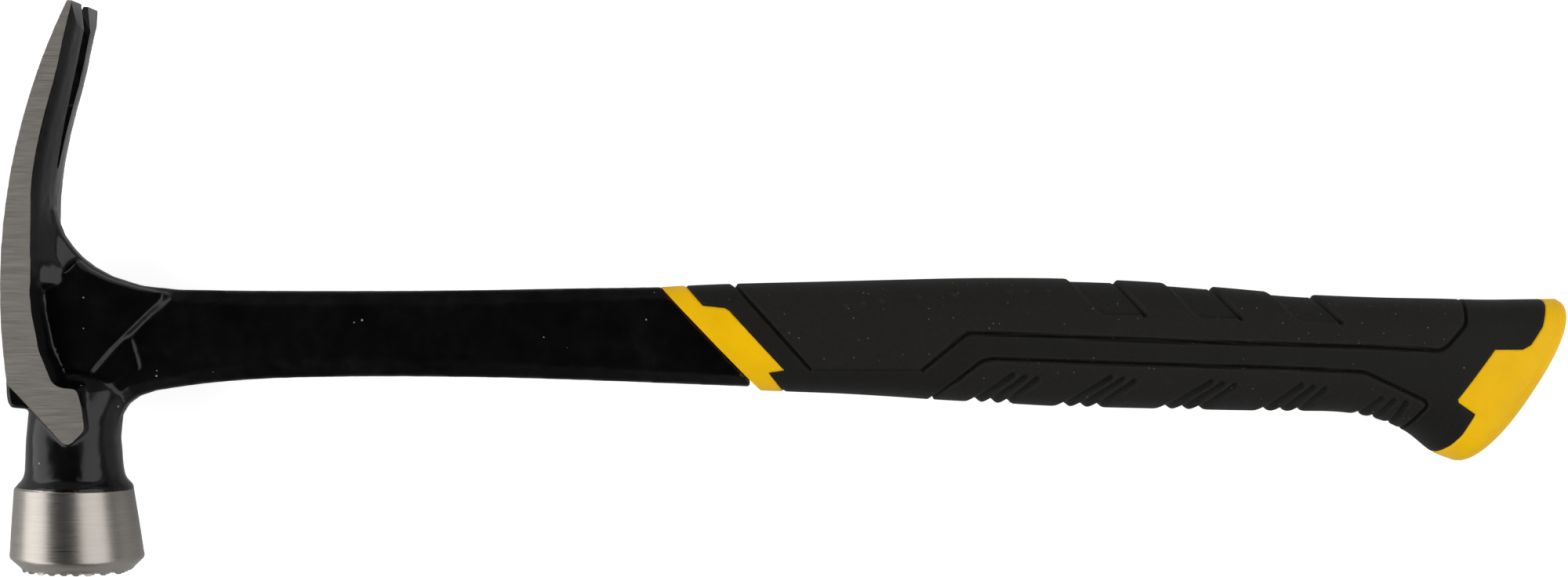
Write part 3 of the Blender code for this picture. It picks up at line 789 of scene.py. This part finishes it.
# Seam, then the half width and depth of its groove
SEAM_GROOVES = (
    (PALM_PAD[:3], 0.43, 1.0),
    (PALM_PAD[2:4], 0.4, 0.3),
    (PALM_PAD[3:], 0.43, 1.0),
    (FINGER_PAD, 0.43, 1.0),
    (COLLAR_SEAM, 0.28, 0.35),
    (BUTT_SEAM, 0.28, 0.3),
)
# Foot, then tip, of the first groove in each group of three
RIB_GROUPS = (
    (34.2, -29.2, 38.4, -22.0),
    (44.2, -30.0, 49.0, -22.5),
    (55.4, -30.6, 59.9, -23.7),
    (66.2, -31.1, 69.7, -24.6),
    (76.8, -31.8, 78.5, -28.0),
)
RECESSES = (
    ((44.0, 4.4), (48.0, -6.6), (52.7, -6.6), (49.2, 4.2)),
    ((54.6, 3.4), (58.6, -7.4), (63.1, -7.4), (59.7, 2.8)),
    ((65.8, 1.6), (69.4, -8.2), (74.0, -8.4), (70.8, 0.8)),
)


def grip_rings(inset, spacing, around, last_share=0.985):
    """The handle's outer form as rings, or that form inset; the butt closes in a low dome."""
    rows = int(GRIP_LENGTH * 0.93 / spacing)
    squareness = 0.86
    angles = np.linspace(0, 2 * math.pi, around, endpoint=False)
    deep = np.sign(np.cos(angles)) * np.abs(np.cos(angles)) ** squareness
    wide = np.sign(np.sin(angles)) * np.abs(np.sin(angles)) ** squareness
    dome = np.sin(np.linspace(0, math.pi / 2, max(6, int(22 / spacing))))[1:] * last_share
    steps = [(t, 0.0) for t in np.linspace(0, len(GRIP_SECTIONS) - 1, rows)]
    steps += [(len(GRIP_SECTIONS) - 1.0, share) for share in dome]
    rings = []
    for t, share in steps:
        top_at, top, low_at, low, fullness = curve_through(GRIP_SECTIONS, t)
        back, belly = np.array((along(top_at), top)), np.array((along(low_at), low))
        draw = (belly - back) / np.linalg.norm(belly - back) * inset
        back, belly = back + draw, belly - draw
        half = COLLAR_HALF + (GRIP_HALF - COLLAR_HALF) * min(fullness, 1.0) - inset
        half += (BUTT_HALF - GRIP_HALF) * min(max(0.0, (top_at - 80) / 18), 1.0)
        reach = (back - belly) / 2
        out = np.array((reach[1], -reach[0])) + reach * BUTT_LEAN
        centre = (back + belly) / 2 + out / np.linalg.norm(out) * (BUTT_BULGE - inset) * share
        scale = (1 - share**DOME_SQUARENESS) ** (1 / DOME_SQUARENESS)
        flat = centre + np.outer(deep * scale, reach)
        rings.append(np.column_stack([flat, wide * scale * half]))
    return np.array(rings)


def seam_distance(points, outline, closed=True):
    """How far each side-view point is from an outline."""
    line = np.array([p[:] for p in outline])
    ends = np.roll(line, -1, axis=0)
    if not closed:
        line, ends = line[:-1], ends[:-1]
    nearest = np.full(len(points), 1e9)
    for a, b in zip(line, ends):
        step = b - a
        share = np.clip(((points - a) @ step) / (step @ step), 0, 1)
        nearest = np.minimum(nearest, np.linalg.norm(points - a - share[:, None] * step, axis=1))
    return nearest


def inside(points, outline):
    """Which side-view points lie within a closed outline."""
    found = np.zeros(len(points), bool)
    for a, b in zip(outline, outline[1:] + outline[:1]):
        crosses = (a.y > points[:, 1]) != (b.y > points[:, 1])
        level = (b.x - a.x) * (points[:, 1] - a.y) / (b.y - a.y + 1e-12) + a.x
        found ^= crosses & (points[:, 0] < level)
    return found


def moulding(side):
    """How deep the mould's detail lies under the plain form, for side-view points in millimetres."""
    depth = np.zeros(len(side))
    for seam, width, deep in SEAM_GROOVES:
        corners = side_outline(seam)
        line = [corners[0]] + rounded(corners, 1.2)[4:-4] + [corners[-1]]
        gap = seam_distance(side, line, False)
        depth = np.maximum(depth, deep * np.exp(-((gap / width) ** 3)))
    for corners in RECESSES:
        outline = rounded(side_outline(corners), 2.0)
        within = np.where(inside(side, outline), 1, -1) * seam_distance(side, outline)
        depth = np.maximum(depth, RECESS_DEPTH * smooth_step(within / 0.9 + 0.35))
        rear = seam_distance(side, side_outline(corners[2:]), False)
        depth = np.maximum(depth, GROOVE_DEPTH * np.exp(-((rear / 0.5) ** 3)))
    for low_at, low, high_at, high in RIB_GROUPS:
        for k in range(3):
            tip = Vector((along(high_at + 1.3 * k), high - 0.5 * k))
            foot = tip.lerp(Vector((along(low_at + 1.9 * k), low)), 1.6)
            gap = seam_distance(side, [foot, tip], False)
            depth = np.maximum(depth, GROOVE_DEPTH * np.exp(-((gap / 0.8) ** 2.4)))
    return depth


def grip_form():
    """The finished outer skin of the handle, with all its moulded detail."""
    rings = grip_rings(0.0, SKIN_SPACING, SKIN_AROUND)
    forward = np.gradient(rings, axis=0)
    across = np.roll(rings, -1, axis=1) - np.roll(rings, 1, axis=1)
    normal = np.cross(across, forward)
    normal /= np.linalg.norm(normal, axis=2, keepdims=True) + 1e-9
    middle = rings.mean(axis=1, keepdims=True)
    outward = np.sign(np.sum(normal * (rings - middle), axis=2).sum())
    side = rings[:, :, :2].reshape(-1, 2)
    depth = moulding(side).reshape(rings.shape[:2])
    depth[0] = 0
    return rings - normal * outward * depth[:, :, None]


def grip_solid(name, inset):
    """The plain form of the grip, inset; the cutter behind the rubbers."""
    return loft(name, grip_rings(inset, 2.5, 64, 0.96))


def long_outline(seam, ends):
    """A seam closed round the end of the grip."""
    return side_outline(seam) + [Vector(p) for p in ends]


def region(outline):
    """Everything inside a side-view outline, through the whole grip."""
    return slab("region", outline, PAST_THE_GRIP)


def grip_pieces():
    """Collar, butt, cover and the two pads, parted along their seams."""
    form = grip_form()
    collar_outline = long_outline(COLLAR_SEAM, ((-30, -40), (-30, 14)))
    butt_outline = long_outline(BUTT_SEAM, ((GRIP_LENGTH + 20, -60), (GRIP_LENGTH + 20, 12)))

    collar = loft("front_collar", form)
    combine(collar, region(grown(collar_outline, -SEAM_GAP)), "INTERSECT")
    half_bore = [(-4.6, 3.9), (-5.4, 4.6), (-19.4, 4.6), (-20.2, 3.9)]
    bore = half_bore + [(y, -z) for y, z in reversed(half_bore)]
    combine(collar, loft("bore", [[(x, y, z) for y, z in bore] for x in (-14, 60)]), "DIFFERENCE")

    butt = loft("butt_end", form)
    combine(butt, region(grown(butt_outline, -SEAM_GAP)), "INTERSECT")

    cover = loft("cover_rubber", form)
    combine(cover, region(grown(collar_outline, SEAM_GAP)), "DIFFERENCE")
    combine(cover, region(grown(butt_outline, SEAM_GAP)), "DIFFERENCE")
    combine(cover, grip_solid("hollow", COVER_WALL), "DIFFERENCE")

    made = {"front_collar": collar, "butt_end": butt, "cover_rubber": cover}
    for name, seam in (("palm_rubber", PALM_PAD), ("finger_rubber", FINGER_PAD)):
        outline = rounded(side_outline(seam), 1.6)
        pocket = region(grown(outline, SEAM_GAP))
        combine(pocket, grip_solid("under", PAD_DEPTH + 0.1), "DIFFERENCE")
        combine(cover, pocket, "DIFFERENCE")
        pad = loft(name, form)
        combine(pad, region(outline), "INTERSECT")
        combine(pad, grip_solid("under", PAD_DEPTH), "DIFFERENCE")
        made[name] = pad
    return made


def magnet():
    """A small nickel-plated disc with a turned edge."""
    x = head(CROWN_X) + 2.2
    rings = []
    for radius, depth in ((2.6, 0.0), (2.95, 0.06), (3.2, 0.3), (3.2, 3.0)):
        angles = np.linspace(0, 2 * math.pi, 64, endpoint=False)
        ring = [np.full_like(angles, x + depth), MAGNET_Y + radius * np.cos(angles), radius * np.sin(angles)]
        rings.append(np.stack(ring, axis=1))
    return loft("magnet_disc", rings)


# ---------------------------------------------------------------- materials


class Nodes:
    """Short hand for wiring a node tree."""

    def __init__(self, tree):
        self.tree = tree

    def add(self, kind, **settings):
        node = self.tree.nodes.new(kind)
        for key, value in settings.items():
            setattr(node, key, value)
        return node

    def link(self, source, target):
        self.tree.links.new(source, target)

    def math(self, operation, a, b):
        node = self.add("ShaderNodeMath", operation=operation)
        self.feed(node.inputs[0], a)
        self.feed(node.inputs[1], b)
        return node.outputs[0]

    def feed(self, socket, value):
        """Wires an output into a socket, or sets the socket to a number."""
        if isinstance(value, bpy.types.NodeSocket):
            self.link(value, socket)
        else:
            socket.default_value = value

    def noise(self, vector, scale, detail=2.0, roughness=0.5):
        node = self.add("ShaderNodeTexNoise")
        self.link(vector, node.inputs["Vector"])
        self.feed(node.inputs["Scale"], scale)
        node.inputs["Detail"].default_value = detail
        node.inputs["Roughness"].default_value = roughness
        return node.outputs["Fac"]

    def spread(self, value, low, high, to_low, to_high):
        node = self.add("ShaderNodeMapRange")
        self.feed(node.inputs["Value"], value)
        limits = {"From Min": low, "From Max": high, "To Min": to_low, "To Max": to_high}
        for key, number in limits.items():
            self.feed(node.inputs[key], number)
        return node.outputs["Result"]


def colour_mix(nodes, factor, a, b):
    node = nodes.add("ShaderNodeMix", data_type="RGBA")
    nodes.feed(node.inputs[0], factor)
    for socket, value in ((node.inputs[6], a), (node.inputs[7], b)):
        nodes.feed(socket, (*value, 1) if isinstance(value, tuple) else value)
    return node.outputs[2]


def new_group(name, inputs, outputs):
    """A node group whose sockets are named; None leaves a socket's own default."""
    tree = bpy.data.node_groups.new(name, "ShaderNodeTree")
    for label, kind, value in inputs:
        socket = tree.interface.new_socket(label, in_out="INPUT", socket_type=kind)
        if value is not None:
            socket.default_value = value
    for label in outputs:
        tree.interface.new_socket(label, in_out="OUTPUT", socket_type="NodeSocketFloat")
    nodes = Nodes(tree)
    return nodes, nodes.add("NodeGroupInput"), nodes.add("NodeGroupOutput")


def dust_group():
    """Sparse light specks, with a mask that is 1 on a speck."""
    nodes, given, out = new_group(
        "dust_specks",
        (
            ("Vector", "NodeSocketVector", None),
            ("Size", "NodeSocketFloat", 1.0),
            ("Share", "NodeSocketFloat", 0.1),
        ),
        ("Mask",),
    )
    cells = nodes.add("ShaderNodeTexVoronoi")
    nodes.link(given.outputs["Vector"], cells.inputs["Vector"])
    nodes.link(given.outputs["Size"], cells.inputs["Scale"])
    pick = nodes.add("ShaderNodeSeparateColor")
    nodes.link(cells.outputs["Color"], pick.inputs[0])
    chosen = nodes.math("LESS_THAN", pick.outputs[0], given.outputs["Share"])
    size = nodes.math("MULTIPLY", pick.outputs[1], 0.16)
    near = nodes.math("LESS_THAN", cells.outputs["Distance"], size)
    nodes.link(nodes.math("MULTIPLY", chosen, near), out.inputs["Mask"])
    return nodes.tree


def grain_group():
    """Fine spark-eroded grain: a height and a slow mottle."""
    nodes, given, out = new_group(
        "moulded_grain",
        (
            ("Vector", "NodeSocketVector", None),
            ("Grain", "NodeSocketFloat", 2.5),
            ("Mottle", "NodeSocketFloat", 0.08),
        ),
        ("Height", "Mottle"),
    )
    vector = given.outputs["Vector"]
    coarse = nodes.noise(vector, given.outputs["Grain"], 3.0, 0.6)
    fine = nodes.noise(vector, nodes.math("MULTIPLY", given.outputs["Grain"], 2.7), 2.0, 0.5)
    nodes.link(nodes.math("ADD", coarse, nodes.math("MULTIPLY", fine, 0.5)), out.inputs["Height"])
    nodes.link(nodes.noise(vector, given.outputs["Mottle"], 3.0, 0.6), out.inputs["Mottle"])
    return nodes.tree


def edge_light_and_shade_group():
    """Painted light and shade from curvature: a mask, broken up by noise, that lightens raised edges as a
    painted highlight, and one that darkens hollows as painted shade.
    """
    nodes, given, out = new_group(
        "painted_edge_light_and_shade",
        (
            ("Vector", "NodeSocketVector", None),
            ("Start", "NodeSocketFloat", 0.53),
            ("End", "NodeSocketFloat", 0.6),
        ),
        ("Mask", "Painted_shade"),
    )
    geometry = nodes.add("ShaderNodeNewGeometry")
    broken = nodes.noise(given.outputs["Vector"], 0.6, 4.0, 0.65)
    shifted = nodes.math("ADD", geometry.outputs["Pointiness"], nodes.math("MULTIPLY", broken, 0.04))
    # Mask of raised edges, used to lighten them as a painted highlight.
    mask = nodes.spread(shifted, given.outputs["Start"], given.outputs["End"], 0.0, 1.0)
    nodes.link(mask, out.inputs["Mask"])
    # Painted shade: a mask that darkens the hollows.
    hollow = nodes.spread(geometry.outputs["Pointiness"], 0.42, 0.49, 1.0, 0.0)
    nodes.link(hollow, out.inputs["Painted_shade"])
    return nodes.tree


DUST = dust_group()
GRAIN = grain_group()
EDGE_LIGHT_AND_SHADE = edge_light_and_shade_group()
DUST_TONE = (0.3, 0.29, 0.27)


def shade(tone, factor):
    """A tone made darker or lighter."""
    return tuple(channel * factor for channel in tone)


def set_roughness(nodes, shader, *limits):
    """Lets a value that changes over the surface steer the roughness between two limits."""
    nodes.link(nodes.spread(*limits), shader.inputs["Roughness"])


def masked(nodes, mask, strength, under, over):
    """One colour laid over another where a mask is bright."""
    return colour_mix(nodes, nodes.math("MULTIPLY", mask, strength), under, over)


def start_material(name, colour, roughness, metallic=0.0, specular=0.5):
    """A material, its nodes and shader, and the place on the surface in millimetres."""
    made = bpy.data.materials.new(name)
    made.use_nodes = True
    nodes = Nodes(made.node_tree)
    shader = made.node_tree.nodes["Principled BSDF"]
    shader.inputs["Base Color"].default_value = (*colour, 1)
    shader.inputs["Roughness"].default_value = roughness
    shader.inputs["Metallic"].default_value = metallic
    shader.inputs["Specular IOR Level"].default_value = specular
    where = nodes.add("ShaderNodeTexCoord").outputs["Object"]
    scale = nodes.add("ShaderNodeVectorMath", operation="SCALE")
    nodes.link(where, scale.inputs[0])
    scale.inputs["Scale"].default_value = 1 / MM
    return made, nodes, shader, scale.outputs[0]


def use(nodes, tree, vector, **values):
    """Places a shared group with its own values."""
    node = nodes.add("ShaderNodeGroup", node_tree=tree)
    nodes.link(vector, node.inputs["Vector"])
    for key, value in values.items():
        node.inputs[key.capitalize()].default_value = value
    return node


def bump(nodes, shader, height, distance, strength=1.0):
    node = nodes.add("ShaderNodeBump")
    node.inputs["Strength"].default_value = strength
    node.inputs["Distance"].default_value = distance * MM
    nodes.link(height, node.inputs["Height"])
    nodes.link(node.outputs["Normal"], shader.inputs["Normal"])


def black_paint():
    """Thin satin black paint, lightened on the sharpest edges as a painted highlight."""
    made, nodes, shader, where = start_material("satin_black_paint", (0.002, 0.002, 0.0021), 0.2, 0.0, 0.3)
    grain = use(nodes, GRAIN, where, grain=0.9, mottle=0.12)
    dust = use(nodes, DUST, where, size=0.5, share=0.1)
    light_and_shade = use(nodes, EDGE_LIGHT_AND_SHADE, where, start=0.56, end=0.66)
    base = colour_mix(nodes, grain.outputs["Mottle"], (0.0009, 0.0009, 0.001), (0.0026, 0.0025, 0.0024))
    # The sharpest edges are lightened: a painted highlight.
    paint_edge_highlit = masked(nodes, light_and_shade.outputs["Mask"], 0.25, base, (0.06, 0.058, 0.055))
    dusty = masked(nodes, dust.outputs["Mask"], 0.7, paint_edge_highlit, DUST_TONE)
    nodes.link(dusty, shader.inputs["Base Color"])
    set_roughness(nodes, shader, grain.outputs["Mottle"], 0.3, 0.7, 0.16, 0.28)
    bump(nodes, shader, grain.outputs["Height"], 0.012, 0.5)
    return made


def stretched(nodes, vector, scale):
    """The place on the surface, scaled by a different amount each way."""
    node = nodes.add("ShaderNodeMapping")
    nodes.link(vector, node.inputs["Vector"])
    node.inputs["Scale"].default_value = scale
    return node.outputs[0]


def ground_steel(name, roughness, tone):
    """Bare steel with fine lines left by the belt, running along the hammer."""
    made, nodes, shader, where = start_material(name, tone, roughness, 1.0)
    lines = nodes.noise(stretched(nodes, where, (0.1, 6.0, 0.1)), 1.0, 4.0, 0.7)
    bands = nodes.noise(stretched(nodes, where, (0.05, 0.9, 0.05)), 1.0, 3.0, 0.6)
    pits = use(nodes, DUST, where, size=0.4, share=0.05)
    light, dark = shade(tone, 1.1), shade(tone, 0.8)
    brushed = colour_mix(nodes, nodes.spread(lines, 0.3, 0.7, 0.0, 1.0), dark, light)
    varied = colour_mix(nodes, nodes.spread(bands, 0.35, 0.65, 0.0, 0.35), brushed, dark)
    pitted = masked(nodes, pits.outputs["Mask"], 0.7, varied, (0.12, 0.11, 0.1))
    nodes.link(pitted, shader.inputs["Base Color"])
    set_roughness(nodes, shader, lines, 0.3, 0.7, roughness - 0.05, roughness + 0.08)
    bump(nodes, shader, lines, 0.02, 0.5)
    return made


def rubber(name, colour, roughness, grain_size, depth, dust_share):
    """Grained moulded rubber, with a painted highlight on its edges and painted shade in its grooves."""
    made, nodes, shader, where = start_material(name, colour, roughness, 0.0, 0.15)
    grain = use(nodes, GRAIN, where, grain=grain_size, mottle=0.05)
    dust = use(nodes, DUST, where, size=0.8, share=dust_share)
    light_and_shade = use(nodes, EDGE_LIGHT_AND_SHADE, where, start=0.53, end=0.58)
    mottled = colour_mix(nodes, grain.outputs["Mottle"], shade(colour, 0.8), shade(colour, 1.35))
    fine = nodes.spread(grain.outputs["Height"], 0.6, 0.95, 0.0, 0.7)
    grained = colour_mix(nodes, fine, mottled, shade(colour, 2.0))
    # Raised edges lightened: a painted highlight.
    rubber_edge_highlit = masked(nodes, light_and_shade.outputs["Mask"], 0.4, grained, shade(colour, 4))
    # Grooves darkened: painted shade.
    groove_shaded = masked(nodes, light_and_shade.outputs["Painted_shade"], 0.7, rubber_edge_highlit, shade(colour, 0.1))
    dusty = masked(nodes, dust.outputs["Mask"], 0.3, groove_shaded, DUST_TONE)
    nodes.link(dusty, shader.inputs["Base Color"])
    height = grain.outputs["Height"]
    set_roughness(nodes, shader, height, 0.4, 1.1, roughness - 0.08, roughness + 0.1)
    bump(nodes, shader, grain.outputs["Height"], depth, 0.8)
    return made


def yellow_plastic():
    made, nodes, shader, where = start_material("yellow_plastic", (0.84, 0.47, 0.0), 0.45, 0.0, 0.15)
    grain = use(nodes, GRAIN, where, grain=1.6, mottle=0.07)
    light_and_shade = use(nodes, EDGE_LIGHT_AND_SHADE, where, start=0.56, end=0.68)
    mottle = nodes.spread(grain.outputs["Mottle"], 0.35, 0.65, 0, 1)
    base = colour_mix(nodes, mottle, (0.75, 0.42, 0.0), (0.83, 0.475, 0.0))
    # Raised edges lightened to a paler yellow: a painted highlight.
    yellow_edge_highlit = masked(nodes, light_and_shade.outputs["Mask"], 0.25, base, (0.88, 0.58, 0.12))
    nodes.link(yellow_edge_highlit, shader.inputs["Base Color"])
    set_roughness(nodes, shader, grain.outputs["Height"], 0.4, 1.1, 0.36, 0.5)
    bump(nodes, shader, grain.outputs["Height"], 0.015, 0.6)
    return made


def nickel():
    made, nodes, shader, where = start_material("nickel_plate", (0.62, 0.6, 0.56), 0.22, 1.0)
    grain = use(nodes, GRAIN, where, grain=3.0, mottle=0.5)
    set_roughness(nodes, shader, grain.outputs["Mottle"], 0.3, 0.7, 0.15, 0.32)
    bump(nodes, shader, grain.outputs["Height"], 0.005, 0.5)
    return made


def damping_rubber():
    made, nodes, shader, where = start_material("damping_rubber", (0.04, 0.04, 0.04), 0.8)
    grain = use(nodes, GRAIN, where, grain=2.0, mottle=0.1)
    mottled = colour_mix(nodes, grain.outputs["Mottle"], (0.03, 0.03, 0.03), (0.05, 0.05, 0.05))
    nodes.link(mottled, shader.inputs["Base Color"])
    bump(nodes, shader, grain.outputs["Height"], 0.05, 0.5)
    return made


# ---------------------------------------------------------------- building

paint = black_paint()
ground = ground_steel("ground_steel", 0.4, (0.44, 0.41, 0.37))
turned = ground_steel("turned_steel", 0.31, (0.34, 0.317, 0.288))
yellow = yellow_plastic()
cover_finish = rubber("cover_rubber", (0.0044, 0.0041, 0.0036), 0.58, 1.8, 0.08, 0.08)
pad_finish = rubber("pad_rubber", (0.0058, 0.0054, 0.0048), 0.62, 1.5, 0.22, 0.26)

place(forging(), (paint, ground, turned), ["forged_body"])
place(magnet(), (nickel(),), ["nail_magnet"])
pieces = grip_pieces()
place(pieces["front_collar"], (yellow,), ["grip_core"])
place(pieces["butt_end"], (yellow,), ["butt_cap"])
place(pieces["cover_rubber"], (cover_finish,), ["grip_cover"])
place(pieces["palm_rubber"], (pad_finish,), ["palm_pad"])
place(pieces["finger_rubber"], (pad_finish,), ["finger_pad"])
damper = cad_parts["fork_damper"]
damper.data.materials.clear()
damper.data.materials.append(damping_rubber())

# ---------------------------------------------------------------- studio

floor_mesh = bpy.data.meshes.new("studio_floor")
corners = [(x * FLOOR_HALF, y * FLOOR_HALF, cad_box[0].z) for x, y in ((-1, -1), (1, -1), (1, 1), (-1, 1))]
floor_mesh.from_pydata(corners, [], [(0, 1, 2, 3)])
floor = new_object("studio_floor", floor_mesh)
floor_finish, floor_nodes, floor_shader, _ = start_material("pale_sweep", (0.6, 0.6, 0.6), 0.9, 0.0, 0.1)
floor_shader.inputs["Emission Color"].default_value = (1, 1, 1, 1)
seen_directly = floor_nodes.add("ShaderNodeLightPath").outputs["Is Camera Ray"]
glow = floor_nodes.math("MULTIPLY", seen_directly, 0.75)
floor_nodes.link(glow, floor_shader.inputs["Emission Strength"])
floor_mesh.materials.append(floor_finish)


def softbox(name, x, height, radiance):
    """A large soft light; its power follows from the brightness of its surface."""
    light = bpy.data.lights.new(name, "AREA")
    light.shape = "RECTANGLE"
    light.size, light.size_y = SOFTBOX_SIZE
    light.energy = radiance * math.pi * SOFTBOX_SIZE[0] * SOFTBOX_SIZE[1]
    lamp = bpy.data.objects.new(name, light)
    bpy.context.scene.collection.objects.link(lamp)
    lamp.location = (x, 0, height)
    aim = Vector(LIGHT_TARGET) - lamp.location
    lamp.rotation_euler = aim.to_track_quat("-Z", "Y").to_euler()
    lamp.visible_camera = False


softbox("left_softbox", -1.42, 0.66, 2.6)
softbox("right_softbox", 0.86, 0.94, 1.9)


def studio_world():
    """Pale walls that fade to a dark ceiling; seen directly it's an even pale backdrop."""
    made = bpy.data.worlds.new("studio")
    bpy.context.scene.world = made
    made.use_nodes = True
    nodes = Nodes(made.node_tree)
    background = made.node_tree.nodes["Background"]
    background.inputs["Color"].default_value = (1, 1, 1, 1)
    split = nodes.add("ShaderNodeSeparateXYZ")
    nodes.link(nodes.add("ShaderNodeTexCoord").outputs["Generated"], split.inputs[0])
    fade = nodes.spread(split.outputs["Z"], 0.05, 0.6, 0.3, 0.02)
    seen = nodes.add("ShaderNodeLightPath").outputs["Is Camera Ray"]
    backdrop = nodes.math("MULTIPLY", seen, 0.95)
    nodes.link(nodes.math("MAXIMUM", fade, backdrop), background.inputs["Strength"])


studio_world()

camera_data = bpy.data.cameras.new("camera")
camera_data.sensor_width = SENSOR_WIDTH
camera_data.lens = SENSOR_WIDTH * CAMERA_DISTANCE / SEEN_WIDTH
camera_data.clip_start = 0.01
camera = bpy.data.objects.new("camera", camera_data)
bpy.context.scene.collection.objects.link(camera)
camera.location = ORIGIN + Vector((CAMERA_X, 0, CAMERA_DISTANCE)) * MM
bpy.context.scene.camera = camera
bpy.context.scene.view_settings.view_transform = "Standard"
